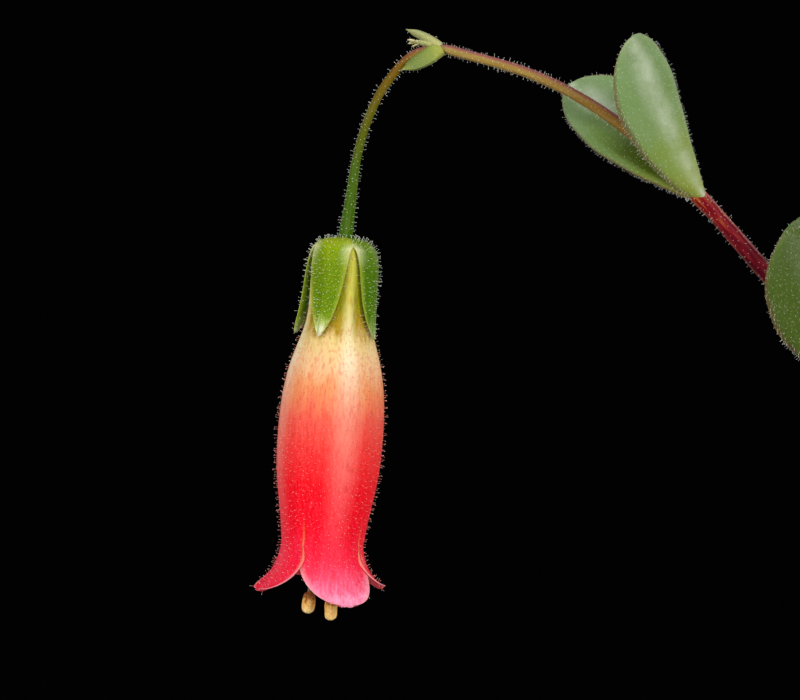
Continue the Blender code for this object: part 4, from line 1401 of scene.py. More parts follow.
@dataclass
class Roots:
    """Where hairs grow: their roots and the directions that they stand in."""

    points: np.ndarray
    normals: np.ndarray

    TRIES = 2.2                 # for each square of one spacing
    LEAST_GAP = 0.72            # for each spacing

    @staticmethod
    def scattered(mesh: Mesh, spacing: float, seed: int,
                  dense: Callable[[Arrays], np.ndarray]) -> "Roots":
        """Scatter roots over a mesh, none much closer together than the spacing.

        Args:
            mesh: The surface.
            spacing: About how far apart they are where they stand densest.
            seed: Seed of the draws.
            dense: Gives each vertex's density, from 0 to 1, from the mesh's arrays.

        Returns:
            The roots.
        """
        mesh.calc_loop_triangles()
        corners = np.empty(len(mesh.loop_triangles) * 3, np.int32)
        mesh.loop_triangles.foreach_get("vertices", corners)
        corners = corners.reshape(-1, 3)
        arrays = {"co": np.empty((len(mesh.vertices), 3), np.float32),
                  "normal": np.empty((len(mesh.vertices), 3), np.float32)}
        for key, found in arrays.items():
            mesh.vertices.foreach_get(key, found.reshape(-1))
        for key in LAYERS:
            arrays[key] = np.empty(len(mesh.vertices), np.float32)
            mesh.attributes[key].data.foreach_get("value", arrays[key])
        arrays.update(x=arrays["co"][:, 0], z=arrays["co"][:, 2], margin=np.abs(arrays["across"]))
        co = arrays["co"][corners]
        area = np.linalg.norm(np.cross(co[:, 1] - co[:, 0], co[:, 2] - co[:, 0]), axis=1) / 2
        rng = np.random.default_rng(seed)
        count = int(area.sum() / spacing ** 2 * Roots.TRIES)
        pick = rng.choice(len(area), count, p=area / area.sum())
        a, b = rng.random(count), rng.random(count)
        over = a + b > 1
        a[over], b[over] = 1 - a[over], 1 - b[over]
        shares = np.stack((1 - a - b, a, b), axis=1)[:, :, None]
        points = (co[pick] * shares).sum(axis=1)
        normals = (arrays["normal"][corners][pick] * shares).sum(axis=1)
        normals /= np.maximum(np.linalg.norm(normals, axis=1), 1e-9)[:, None]
        chance = (dense(arrays)[corners][pick] * shares[:, :, 0]).sum(axis=1)
        keep, cells = [], {}
        apart = spacing * Roots.LEAST_GAP
        for index in np.nonzero(rng.random(count) < chance)[0]:
            x, y, z = points[index]
            key = (int(x // apart), int(y // apart), int(z // apart))
            near = [p for i in (-1, 0, 1) for j in (-1, 0, 1) for k in (-1, 0, 1)
                    for p in cells.get((key[0] + i, key[1] + j, key[2] + k), ())]
            if all((p[0] - x) ** 2 + (p[1] - y) ** 2 + (p[2] - z) ** 2 > apart ** 2 for p in near):
                cells.setdefault(key, []).append((x, y, z))
                keep.append(index)
        return Roots(points[keep], normals[keep])


@dataclass(frozen=True)
class HairCoat:
    """A coat of short stiff hairs, each a real mesh."""

    length: float = 0.3 * MM
    thick: float = 0.013 * MM
    bead: float = 2.2           # radius of the gland, for each radius of the hair's foot
    stray: float = 0.3          # how far a hair strays from square, as a tangent
    coarser: float = 1.6        # how much thicker it is where the photograph doesn't show it
    least: float = 0.65         # the shortest hair, against its coat's length
    most: float = 1.25

    def template(self, close: bool) -> tuple[np.ndarray, np.ndarray]:
        """Make one hair, 1 long and with a foot of radius 1.

        Args:
            close: Whether it is seen from close by, and so wears its gland.

        Returns:
            Its points and triangles.
        """
        bm = bmesh.new()
        ops.create_cone(bm, cap_ends=False, segments=3, radius1=1.0, radius2=0.55, depth=1.04)
        ops.translate(bm, verts=bm.verts, vec=(0, 0, 0.48))
        if close:
            bead = ops.create_uvsphere(bm, u_segments=4, v_segments=2, radius=self.bead)["verts"]
            ops.scale(bm, verts=bead, vec=(1, 1, self.thick / self.length))
            ops.translate(bm, verts=bead, vec=(0, 0, 1))
        return template_arrays(bm)

    def grow(self, name: str, roots: Sequence[tuple[Roots, float]], close: bool, seed: int) -> Mesh:
        """Grow hairs from their roots.

        Args:
            name: The mesh's name.
            roots: Where they grow, and how long they are there against the coat's own length.
            close: Whether they are seen from close by. Others are thicker and have no glands.
            seed: Seed of their lengths and leanings.

        Returns:
            The mesh of all the hairs.
        """
        points = np.concatenate([r.points for r, _ in roots]).astype(np.float64)
        normals = np.concatenate([r.normals for r, _ in roots]).astype(np.float64)
        scale = np.concatenate([np.full((len(r.points), 1), size) for r, size in roots])
        rng = np.random.default_rng(seed)
        normals += rng.uniform(-self.stray, self.stray, normals.shape)
        normals /= np.linalg.norm(normals, axis=1)[:, None]
        helper = np.where(np.abs(normals[:, 2:]) < 0.9, (0.0, 0.0, 1.0), (1.0, 0.0, 0.0))
        side = np.cross(normals, helper)
        side /= np.linalg.norm(side, axis=1)[:, None]
        over = np.cross(normals, side)
        lengths = self.length * scale * rng.uniform(self.least, self.most, (len(points), 1))
        thick = self.thick * (1.0 if close else self.coarser) * np.minimum(1.3, scale + 0.2)
        axes = np.stack((side * thick, over * thick, normals * lengths), axis=1)
        return tiled(name, self.template(close), axes, points - normals * 0.02 * MM)


@dataclass(frozen=True)
class HairZone:
    """A part of a stem's green surface, and how hairs stand there: seen from close by, and otherwise."""

    gaps: tuple[float, float]       # how far apart, in millimetres
    lengths: tuple[float, float]    # against the coat's own length
    # Each rule is a layer, values of it, and how dense the hairs stand there, from 0 to 1
    rules: tuple[tuple[str, tuple[float, ...], tuple[float, ...]], ...] = ()

    def dense(self, arrays: Arrays) -> np.ndarray:
        """Give each vertex's density of hairs."""
        everywhere = np.ones(len(arrays["x"]))
        return prod([np.interp(arrays[layer], *ramp) for layer, *ramp in self.rules], start=everywhere)


# Sub-assemblies


@dataclass(frozen=True)
class FlowerPart:
    """A part of one flower: the flower, the steps of its mesh, and a draw from 0 to 1 for its unevenness."""

    flower: Flower
    fine: Fineness
    draw: float = 0.0


@dataclass(frozen=True)
class Corolla(FlowerPart):
    """Four petals grown into a hanging tube, with flared lobes at its mouth."""

    throat: float = 20.6 * MM
    throat_radius: float = 2.76 * MM
    lobe_half_width: float = 2.35 * MM
    wall: float = 0.4 * MM
    front_lean: float = -0.85 * MM
    length: float = 27 * MM     # what the layer "along" runs over
    start: float = 0.45 * MM
    ridge: float = 0.17 * MM
    flattening: float = 2.2 * MM    # how much flatter a lobe is at its tip, as a radius
    bow: float = 0.15 * MM
    fray: float = 0.05 * MM
    curl: float = 0.22 * MM     # how far the margins curl back at the tip
    widest: float = 0.42        # how far down a lobe it is widest
    # How far towards pink each lobe of the photographed flower goes, from the front one round
    # Partly the lobes' own colour and partly painted light: the lit front lobe pinkest, the shaded side
    # lobes deeper red
    lobe_blushes_and_light: tuple[float, ...] = (1.0, 0.35, 0.3, 0.3)

    # Distance down the axis and radius of the tube, in millimetres
    PROFILE = ((0.45, 1.5), (0.7, 1.82), (1.1, 1.95), (2.2, 2.04), (3.2, 2.06), (4.4, 2.06), (5.5, 2.12),
               (6.2, 2.28), (7.7, 2.77), (8.7, 3.08), (9.8, 3.28), (10.9, 3.44), (13.0, 3.53), (15.2, 3.49),
               (16.3, 3.38), (17.3, 3.22), (18.4, 3.04), (19.5, 2.86), (20.6, 2.76))

    def radius(self, down: float) -> float:
        """Give the tube's radius at a distance down its axis."""
        downs, radii = zip(*self.PROFILE)
        return float(np.interp(down / MM, downs, radii)) * MM

    def smooth_radius(self, down: float) -> float:
        """Give the radius with the profile's corners rounded off."""
        return sum(self.radius(down + k * 0.35 * MM) for k in (-2, -1, 0, 1, 2)) / 5

    def half_width(self, share: float) -> float:
        """Give half a lobe's width: widest before its middle, with a rounded end.

        Args:
            share: How far down the lobe, from 0 to 1.

        Returns:
            Half the width there.
        """
        joint = self.throat_radius * sin(pi / 4)
        if share < self.widest:
            return joint + (self.lobe_half_width - joint) * sin(pi / 2 * share / self.widest)
        return self.lobe_half_width * max(0.001, 1 - ((share - self.widest) / 0.585) ** 2.5) ** 0.4

    def wall_share(self, along: float, across: float) -> float:
        """Thin the wall towards the lobes' margins.

        Args:
            along: The place's value in the layer "along".
            across: Its value in the layer "across".

        Returns:
            The share of the full wall that it has.
        """
        beyond = max(0.0, along * self.length - self.throat)
        lobe, tip = min(1.0, beyond / (1.5 * MM)), min(1.0, beyond / (3.5 * MM))
        edge = max(0.0, (across - 0.45) / 0.55) ** 1.5
        return (1 - (0.15 + 0.63 * lobe) * edge) * (1 - 0.75 * tip ** 1.5)

    def lobe_point(self, share: float, sideways: float, flare: float, length: float,
                   lean: float, uneven: float) -> Vector:
        """Find a point of a lobe in its own petal's frame.

        Args:
            share: How far down the lobe it is, from 0 to 1.
            sideways: Across it, from -1 to 1.
            flare: How far the lobe's tip turns out, in radians.
            length: The lobe's length.
            lean: How far its tip strays sideways.
            uneven: Seed of its frayed edge.

        Returns:
            The point outward, sideways and down.
        """
        outward = self.throat_radius + length * (1 - cos(flare * share)) / flare
        down = self.throat + length * sin(flare * share) / flare
        around = self.throat_radius + self.flattening * share
        frayed = 1 + 0.02 * share ** 4 * noise.noise(Vector((sideways * 6, uneven, 0.0)))
        spread = asin(min(0.95, self.half_width(share) * frayed / around)) * sideways
        bow = self.bow * share ** 3 * (1 - sideways ** 2)
        fray = self.fray * share ** 8 * noise.noise(Vector((sideways * 5, uneven, 3.0)))
        curl = self.curl * share ** 2 * sideways ** 4
        return Vector((outward - around * (1 - cos(spread)) + curl,
                       around * sin(spread) + lean * share ** 1.5, down + bow + fray))

    def build(self, finishes: Sequence[Material]) -> Mesh:
        """Make the corolla.

        Args:
            finishes: The outer and the inner face's materials.

        Returns:
            The mesh in its place, with the outer face in slot 0 and the inner face in slot 1.
        """
        tube_rows, lobe_rows = self.fine.tube_rows, self.fine.lobe_rows

        def place(row: int, offset: float, petal: int) -> Placed:
            """Place one vertex of the corolla.

            Args:
                row: Its row, from the base down.
                offset: How far across the petal, from -1 to 1.
                petal: The petal's number.

            Returns:
                Its place and layers.
            """
            angle = (petal + offset / 2) * pi / 2
            if row <= tube_rows:
                down = self.start + (self.throat - self.start) * row / tube_rows
                # Four soft angles run down the tube, and a slight crease lies in each seam
                crease = 1 - 0.012 * exp(-((1 - abs(offset)) / 0.12) ** 2)
                ridge = self.ridge * exp(-(offset / 0.22) ** 2) * max(0.0, 1 - down / (7 * MM))
                wide = self.smooth_radius(down) * crease * (1 + 0.012 * cos(4 * angle))
                wide = wide + ridge if row < tube_rows else self.throat_radius
                point = Vector((wide * cos(angle), wide * sin(angle), down))
            else:
                share = (row - tube_rows) / lobe_rows
                share = 0.4 * share + 0.6 * (1 - (1 - share) ** 2.4)
                flare, length = self.flower.flares[petal]
                lean = self.front_lean * (0.3 * sin(9 * self.draw + petal) if petal else 1)
                point = self.lobe_point(share, offset, radians(flare), length, lean, self.draw * 50 + petal)
                point.rotate(Euler((0.0, 0.0, petal * pi / 2)))
            blush_and_light = self.lobe_blushes_and_light[petal] if self.fine.close else 0.8
            return point, point.z / self.length, abs(offset), point / MM, blush_and_light

        mesh = petalled(tube_rows + lobe_rows, self.fine.petal_columns, tube_rows, place)
        mesh = walled(mesh, self.wall, self.wall_share, finishes)
        mesh.transform(self.flower.matrix())
        return mesh


@dataclass(frozen=True)
class Calyx(FlowerPart):
    """Four fleshy pointed sepals, joined into a shallow cup at their foot."""

    wall: float = 0.3 * MM
    sinus: float = 0.5 * MM
    tip: float = 6.6 * MM
    keel: float = 0.1 * MM
    edge_lift: float = 0.14 * MM
    loose: int = 1              # the sepal whose point stands off the tube
    loose_lift: float = 0.45 * MM
    shades: tuple[float, ...] = (0.0, 0.75, 0.3, 1.0)   # how dark a green each sepal is

    # Distance down the axis and radius, in millimetres
    PROFILE = ((0.0, 0.62), (0.1, 1.2), (0.22, 1.58), (0.4, 1.86), (0.7, 2.12), (1.1, 2.28), (1.7, 2.38),
               (2.6, 2.43), (3.4, 2.43), (4.4, 2.44), (5.4, 2.52), (6.6, 2.76))
    # Distance down the axis and the share of its quarter that a sepal fills
    SPREAD = ((0.5, 1.0), (0.62, 0.93), (0.8, 0.87), (1.2, 0.82), (1.8, 0.76), (2.8, 0.68), (4.0, 0.56),
              (4.6, 0.48), (5.3, 0.36), (5.9, 0.23), (6.3, 0.12), (6.6, 0.0))

    def wall_share(self, along: float, across: float) -> float:
        """Thin the wall towards the sepals' margins and points.

        Args:
            along: The place's value in the layer "along".
            across: Its value in the layer "across".

        Returns:
            The share of the full wall that it has.
        """
        edge = max(0.0, (across - 0.5) / 0.5) ** 2
        point = max(0.0, (along - 0.72) / 0.28)
        return (1 - 0.75 * edge) * (1 - 0.6 * point)

    def build(self) -> Mesh:
        """Make the calyx.

        Returns:
            The mesh in its place, in material slot 2.
        """
        rows = self.fine.sepal_rows
        downs, radii = zip(*self.PROFILE)
        spread_downs, spreads = zip(*self.SPREAD)
        cup = [d for d in downs if d * MM < self.sinus]
        cup = cup if self.fine.close else cup[::2]
        depths = [d * MM for d in cup]
        depths += [self.sinus + (self.tip - self.sinus) * i / rows for i in range(rows + 1)]

        def place(row: int, offset: float, petal: int) -> Placed:
            """Place one vertex of the calyx.

            Args:
                row: Its row, from the base down.
                offset: How far across the sepal, from -1 to 1.
                petal: The sepal's number.

            Returns:
                Its place and layers.
            """
            down = depths[row]
            share = max(0.0, (down - self.sinus) / (self.tip - self.sinus))
            spread = max(0.015, float(np.interp(down / MM, spread_downs, spreads)))
            angle = (petal + offset * spread / 2) * pi / 2
            keel = self.keel * exp(-(offset / 0.3) ** 2) * min(1.0, down / (1.5 * MM))
            wide = float(np.interp(down / MM, downs, radii)) * MM + keel
            # The sepals' edges stand off a little, each one by its own measure
            wide += self.edge_lift * offset ** 4 * share * (1 + sin(petal * 2.3 + 9 * self.draw))
            if petal == self.loose:
                wide += self.loose_lift * share ** 2.5
            point = Vector((wide * cos(angle), wide * sin(angle), down))
            return point, down / self.tip, abs(offset), point / MM, self.shades[petal]

        mesh = petalled(len(depths) - 1, self.fine.sepal_columns, len(cup), place)
        mesh = walled(mesh, self.wall, self.wall_share)
        mesh.transform(self.flower.matrix() @ Matrix.Rotation(pi / 4, 4, "Z"))
        mesh.polygons.foreach_set("material_index", [2] * len(mesh.polygons))
        return mesh


@dataclass(frozen=True)
class Stamens(FlowerPart):
    """Eight stamens round four slender styles. Their anthers hang just below the petals."""

    core_top: float = 3.0 * MM
    core_end: float = 22.0 * MM
    filament_start: float = 6 * MM
    filament_radius: float = 0.11 * MM
    anther_long: float = 1.45 * MM
    anther_radius: float = 0.5 * MM

    # For the photographed flower: the angle, distance from the axis and lowest point of each anther
    HERO = ((1.43, 0.72, 25.4), (5.34, 0.98, 25.75), (0.3, 1.1, 23.6), (2.3, 1.15, 22.2),
            (3.0, 1.3, 22.6), (3.8, 1.1, 23.4), (4.5, 1.35, 23.4), (6.0, 1.5, 23.5))

    def strand(self, route: list[Vector], radii: list[float], columns: int, low: float, high: float) -> Mesh:
        """Lay a thread along a route.

        Args:
            route: Its middle line, in the flower's own frame.
            radii: Its radii.
            columns: Faces round it.
            low: Its first point's value in the layer "along".
            high: Its last point's value.

        Returns:
            The mesh.
        """
        frames = route_frames(route)

        def place(ring: int, angle: float) -> Placed:
            """Place one vertex of the thread.

            Args:
                ring: Its ring, from the start on.
                angle: Its angle round the axis.

            Returns:
                Its place and layers.
            """
            across, over = frames[ring]
            point = route[ring] + (across * cos(angle) + over * sin(angle)) * radii[ring]
            return point, low + (high - low) * ring / (len(route) - 1), 0.0, point / MM, 0.0

        return bent(len(route) - 1, columns, place, 0)

    def anther(self, top: Vector, bottom: Vector, columns: int, bands: int) -> Mesh:
        """Make an anther: two plump pollen sacs side by side with a groove between them.

        Args:
            top: Where the filament meets it.
            bottom: Its lower end.
            columns: Faces round it.
            bands: Rings of faces along it.

        Returns:
            The mesh.
        """
        line = [top.lerp(bottom, i / bands) for i in range(bands + 1)]
        frames = route_frames(line)

        def place(ring: int, angle: float) -> Placed:
            """Place one vertex of the anther.

            Args:
                ring: Its ring, from the start on.
                angle: Its angle round the axis.

            Returns:
                Its place and layers.
            """
            share = ring / bands
            plump = sqrt(max(0.02, 1 - (2 * share - 1) ** 2)) ** 0.5
            groove = 1 - 0.2 * exp(-(cos(angle) / 0.33) ** 2)
            wide = self.anther_radius * plump * groove
            across, over = frames[ring]
            point = line[ring] + (across * cos(angle) * 1.04 + over * sin(angle) * 0.9) * wide
            point += across * 0.09 * MM * noise.noise(point * 2200)
            return point, 0.58 + 0.42 * share, 0.0, point / MM, 0.0

        return bent(bands, columns, place, 0)

    def build(self) -> Mesh:
        """Make the stamens and styles.

        Returns:
            The mesh in its place.
        """
        columns, bands, steps = (14, 12, 12) if self.fine.close else (6, 5, 4)
        even = [(pi / 4 * (i + 0.5), 1.3, 25.2 - (0.9 if i % 2 else 0.0)) for i in range(8)]
        places = self.HERO if self.fine.close else even
        meshes = []
        for angle, apart, low in places:
            out = Vector((cos(angle), sin(angle), 0.0))
            bottom = out * (apart * MM) + UP * (low * MM)
            top = bottom - UP * self.anther_long - out * 0.06 * MM
            route = [out * (0.55 + (apart - 0.55) * (i / steps) ** 2) * MM
                     + UP * (self.filament_start + (top.z - self.filament_start) * i / steps)
                     for i in range(steps + 1)]
            meshes.append(self.strand(route, [self.filament_radius] * (steps + 1), 5, 0.1, 0.4))
            meshes.append(self.anther(top, bottom, columns, bands))
        for index in range(4):
            angle = pi / 2 * (index + 0.3)
            out = Vector((cos(angle), sin(angle), 0.0))
            route = [out * (0.12 + 0.32 * sin(pi * (i / steps) ** 0.5)) * MM
                     + UP * (self.core_top + (self.core_end - self.core_top) * i / steps)
                     for i in range(steps + 1)]
            radii = [(0.12 + 0.42 * sin(pi * min(1.0, 0.12 + i / steps)) ** 2) * MM
                     for i in range(steps + 1)]
            meshes.append(self.strand(route, radii, 6, 0.0, 0.3))
        mesh = joined("stamens", meshes, 70)
        mesh.transform(self.flower.matrix())
        return mesh


@dataclass(frozen=True)
class StemSkin:
    """A stem with its flower stalks, leaves and calyxes."""

    growth: Growth
    node_swelling: float = 0.16
    node_length: float = 1.3 * MM
    ribs: int = 5
    ribbing: float = 0.035
    slim_stalk: float = 0.82
    stem_share: float = 0.6     # what the stem takes of the layer "along"; the stalk has the rest

    def thread(self, route: Route, radii: Sequence[float], nodes: Sequence[float],
               columns: int, step: float, low: float, high: float) -> Mesh:
        """Lay a stem or a stalk along a coarse route.

        Args:
            route: The coarse route.
            radii: Its radius at each of the route's points.
            nodes: Distances along it where leaves grow and it swells.
            columns: Faces round it.
            step: About how far its rings are apart.
            low: Its first ring's value in the layer "along".
            high: Its last ring's value.

        Returns:
            The mesh.
        """
        fine = smooth_route(route, step)
        done, coarse = distances(fine), distances(route)
        shares = [d / done[-1] for d in done]
        widths = np.interp(shares, [d / coarse[-1] for d in coarse], radii)
        for node in nodes:
            beyond = (np.array(done) - node) / self.node_length
            widths = widths * (1 + self.node_swelling * np.exp(-beyond ** 2))
        frames = route_frames(fine)

        def place(ring: int, angle: float) -> Placed:
            """Place one vertex of the stem.

            Args:
                ring: Its ring, from the start on.
                angle: Its angle round the axis.

            Returns:
                Its place and layers.
            """
            across, over = frames[ring]
            ribs = cos(self.ribs * angle + 3 * shares[ring])
            wide = float(widths[ring]) * (1 + self.ribbing * ribs)
            if ring == len(fine) - 1:
                wide *= 0.7
            point = fine[ring] + (across * cos(angle) + over * sin(angle)) * wide
            local = Vector((wide * cos(angle), wide * sin(angle), done[ring])) / MM
            return point, low + (high - low) * shares[ring], 0.0, local, 0.0

        return bent(len(fine) - 1, columns, place, 0)

    def build(self, stem: Stem, fine: Fineness, rng: random.Random) -> list[Mesh]:
        """Make all the green parts of one stem.

        Args:
            stem: The stem.
            fine: The steps of its meshes.
            rng: Draws of the shades.

        Returns:
            The meshes of its stem and stalks, its leaves and its calyxes, in that order.
        """
        done = distances(stem.route)
        nodes = []
        for leaf in stem.leaves:
            if leaf.length > Leaf.BRACT_LENGTH:
                nearest = min(range(400), key=lambda i: (route_point(stem.route, done[-1] * i / 399)[0]
                                                         - leaf.root).length_squared)
                nodes.append(done[-1] * nearest / 399)
        stems = [self.thread(stem.route, stem.radii, sorted(set(nodes)), fine.stem_columns,
                             fine.stem_step, 0.0, self.stem_share)]
        for stalk in stem.stalks:
            radii = self.growth.stalk_radii(len(stalk))
            if fine.close:
                radii = [radius * self.slim_stalk for radius in radii]
            stems.append(self.thread(stalk, radii, (), fine.stalk_columns, 0.7 * fine.stem_step,
                                     self.stem_share, 1.0))
        leaves = []
        buds = [natural_leaf(Vector(root) * MM, Vector(offset) * MM, UP, width * MM, 0.0, shade)
                for root, offset, width, shade in Growth.HERO_BUD] if fine.close else []
        for leaf in stem.leaves + buds:
            small = leaf.length <= Leaf.BRACT_LENGTH
            rings = fine.leaf_rings // 2 if small else fine.leaf_rings
            shade = rng.uniform(0.25, 0.95) if leaf.shade is None else leaf.shade
            if small and leaf.shade is None:
                shade = 1.3
            leaves.append(leaf.fine(rings, fine.leaf_columns, shade))
        calyxes = [Calyx(flower, fine, rng.random()).build() for flower in stem.flowers]
        return [joined("stems", stems, 60), joined("leaves", leaves, 60)] + [
            joined("calyx", [calyx], 50) for calyx in calyxes]


@dataclass
class Plant:
    """The whole plant: its stems, leaves, flowers and hairs."""

    palette: Palette
    growth: Growth = Growth()
    coat: HairCoat = HairCoat()
    petal_coat: HairCoat = HairCoat(bead=1.9)

    # The stalk, the stem from the soil up, the leaves' margins, their blades, and the calyxes. Bracts, whose
    # tone is above 1.1, wear fewer hairs
    ZONES = (
        HairZone((0.28, 0.8), (0.7, 1.5), (("along", (0.5, 0.54, 0.8), (0, 0.7, 1)),)),
        HairZone((0.38, 0.9), (0.6, 1.3), (("z", (HAIRS_Z, HAIRS_Z + STEP), (0, 1)),
                                           ("along", (0.53, 0.53 + STEP), (1, 0)))),
        HairZone((0.22, 0.55), (0.65, 1.0), (("margin", (0.9, 0.97), (0, 1)),
                                             ("tone", (1.1, 1.1 + STEP), (1, 0.2)))),
        HairZone((0.42, 2.4), (0.5, 0.9), (("tone", (1.1, 1.1 + STEP), (1, 0.3)),)),
        HairZone((0.34, 0.7), (0.8, 1.3)),
    )
    PETAL_ZONE = HairZone((0.43, 0.9), (0.82, 1.2))
    PETAL_HAIRS_START = 5.2 * MM    # below the sepals
    # The photographed stem's coat thins out beyond what the photograph shows
    THINNING = (("x", (-70 * MM, -67 * MM), (1, 0.08)),)

    def green_roots(self, meshes: Sequence[Mesh], close: bool, seed: int) -> list[tuple[Roots, float]]:
        """Choose where hairs grow on a stem's green parts.

        Args:
            meshes: The stem, the leaves and the calyxes.
            close: Whether the stem is seen from close by.
            seed: Seed of the draws.

        Returns:
            The roots on each mesh, and how long their hairs are.
        """
        found = []
        pick, thinning = (0, self.THINNING) if close else (1, ())
        for number, mesh in enumerate((meshes[0], meshes[0], meshes[1], *meshes[1:])):
            zone = self.ZONES[min(number, len(self.ZONES) - 1)]
            zone = replace(zone, rules=zone.rules + thinning)
            roots = Roots.scattered(mesh, zone.gaps[pick] * MM, seed + number, zone.dense)
            found.append((roots, zone.lengths[pick]))
        return found

    def grow_stem(self, stem: Stem, number: int, fine: Fineness) -> None:
        """Make one stem's pieces.

        Args:
            stem: The stem.
            number: Its number, which seeds its draws.
            fine: The steps of its meshes.
        """
        rng = random.Random(SEED * 100 + number)
        meshes = StemSkin(self.growth).build(stem, fine, rng)
        roots = self.green_roots(meshes, fine.close, number * 10)
        hairs = self.coat.grow(stem.name, roots, fine.close, number)
        skin = joined(stem.name, meshes, 50)
        pal = self.palette
        piece(add_object(f"{stem.name}_skin", skin, (pal.stem, pal.leaf, pal.sepal)), "foliage", stem.name)
        piece(add_object(f"{stem.name}_hairs", hairs, (pal.hair,)), "foliage")

    def hang_flower(self, flower: Flower, number: int, fine: Fineness) -> None:
        """Make one flower's pieces.

        Args:
            flower: The flower.
            number: Its number, which seeds its draws.
            fine: The steps of its meshes.
        """
        rng = random.Random(SEED * 200 + number)
        pal = self.palette
        sides = (pal.petal, pal.petal_inside)
        petals = joined("petals", [Corolla(flower, fine, rng.random()).build(sides)], 55)
        inside = flower.matrix().inverted()

        def outer(arrays: Arrays) -> np.ndarray:
            """Keep to the outer face, below the calyx.

            Args:
                arrays: The mesh's arrays.

            Returns:
                Each vertex's density of hairs.
            """
            turned = np.array(inside.to_3x3())
            points = (arrays["co"] - np.array(flower.base)) @ turned.T
            normals = arrays["normal"] @ turned.T
            out = (points[:, :2] * normals[:, :2]).sum(axis=1) > 0
            return np.where(out & (points[:, 2] > self.PETAL_HAIRS_START), 1.0, 0.0)

        pick = 0 if fine.close else 1
        roots = Roots.scattered(petals, self.PETAL_ZONE.gaps[pick] * MM, number * 7 + 1, outer)
        on_petals = [(roots, self.PETAL_ZONE.lengths[pick])]
        hairs = self.petal_coat.grow("hairs", on_petals, fine.close, number)
        stamens = Stamens(flower, fine).build()
        piece(add_object(f"corolla_{number}_petals", petals, sides), "petals", f"corolla_{number}")
        piece(add_object(f"corolla_{number}_hairs", hairs, (pal.petal_hair,)), "petals")
        piece(add_object(f"stamens_{number}_fine", stamens, (pal.anther,)), "anthers", f"stamens_{number}")

    def build(self) -> None:
        """Grow the plant and make all its pieces."""
        stems = self.growth.grow()
        flowers = 0
        for number, stem in enumerate(stems):
            fine = (Detail.WHOLE if number else Detail.CLOSE).value
            self.grow_stem(stem, number, fine)
            for flower in stem.flowers:
                flowers += 1
                self.hang_flower(flower, flowers, fine)
        log.info("%d stems, %d flowers, %d leaves", len(stems), flowers,
                 sum(len(stem.leaves) for stem in stems))


@dataclass(frozen=True)
class ClayPot:
    """A thrown flower pot: a tapered body, a band round its rim, and drain holes beside its centre."""

    rim_height: float = 21 * MM
    rim_step: float = 4 * MM
    edge: float = 1.5 * MM
    rounding: float = 0.7 * MM
    wobble: float = 0.16 * MM   # how far the thrower's fingers leave the wall out of true
    wobble_length: float = 3.5 * MM
    sides: int = 112
    drain_holes: int = 4
    drain_ring: float = 20 * MM
    drain_radius: float = 4 * MM

    def inner_radius(self, z: float) -> float:
        """Give the radius of the pot's inside at a height."""
        low, high = POT_FOOT_RADIUS - POT_WALL, POT_RADIUS - POT_WALL
        return low + (high - low) * (z - POT_FLOOR) / (POT_HEIGHT - POT_FLOOR)

    def profile(self) -> tuple[tuple[float, float], ...]:
        """List the wall's corners from the base's centre round to the inner floor's centre.

        Returns:
            Their radii and heights.
        """
        band_low = POT_HEIGHT - self.rim_height
        return ((0.0, 0.0), (POT_FOOT_RADIUS - self.edge, 0.0), (POT_FOOT_RADIUS, self.edge),
                (POT_RADIUS - self.rim_step - 1 * MM, band_low), (POT_RADIUS - 1 * MM, band_low + self.edge),
                (POT_RADIUS, POT_HEIGHT - self.edge), (POT_RADIUS - self.edge, POT_HEIGHT),
                (self.inner_radius(POT_HEIGHT), POT_HEIGHT), (self.inner_radius(POT_FLOOR), POT_FLOOR),
                (0.0, POT_FLOOR))

    def build(self, finish: Material) -> None:
        """Throw the pot, round its edges and drill its drain holes.

        Args:
            finish: Its material.
        """
        bm = turned(self.profile(), self.sides)
        ops.recalc_face_normals(bm, faces=bm.faces)
        rings = [e for e in bm.edges if abs(e.verts[0].co.z - e.verts[1].co.z) < 1e-7
                 and len(e.link_faces) == 2 and e.calc_face_angle(0) > radians(14)
                 and (e.verts[0].co - e.verts[1].co).length < 4 * MM]
        ops.bevel(bm, geom=rings, offset=self.rounding, offset_type="OFFSET", segments=4, profile=0.5,
                  affect="EDGES", material=-1, clamp_overlap=True)
        upright = [e for e in bm.edges if abs(e.verts[0].co.z - e.verts[1].co.z) > 40 * MM]
        ops.subdivide_edges(bm, edges=upright, cuts=30, use_grid_fill=True)
        for vert in bm.verts:
            radius = hypot(vert.co.x, vert.co.y)
            if radius > 33 * MM and 3 * MM < vert.co.z < POT_HEIGHT - 2 * MM:
                off = self.wobble * noise.noise(Vector((0.0, 0.0, vert.co.z / self.wobble_length)))
                grown = 1 + (off - self.wobble / 2) / radius
                vert.co.x *= grown
                vert.co.y *= grown
        pot = add_object("pot_thrown", mesh_from(bm, "pot_thrown"), (finish,))
        bm = bmesh.new()
        for index in range(self.drain_holes):
            angle = 2 * pi * (index + 0.5) / self.drain_holes
            made = ops.create_cone(bm, cap_ends=True, segments=28, radius1=self.drain_radius,
                                   radius2=self.drain_radius, depth=POT_FLOOR + 2 * MM)["verts"]
            place = (self.drain_ring * cos(angle), self.drain_ring * sin(angle), POT_FLOOR / 2)
            ops.translate(bm, verts=made, vec=place)
        drill = add_object("drill", mesh_from(bm, "drill"))
        cut = pot.modifiers.new("drain", "BOOLEAN")
        cut.object = drill
        cut.operation = "DIFFERENCE"
        cut.solver = "EXACT"
        mesh = applied(pot)
        bpy.data.objects.remove(drill, do_unlink=True)
        mesh.shade_smooth()
        mesh.set_sharp_from_angle(angle=radians(35))
        piece(add_object("pot_thrown", mesh, (finish,)), "clay", "pot")


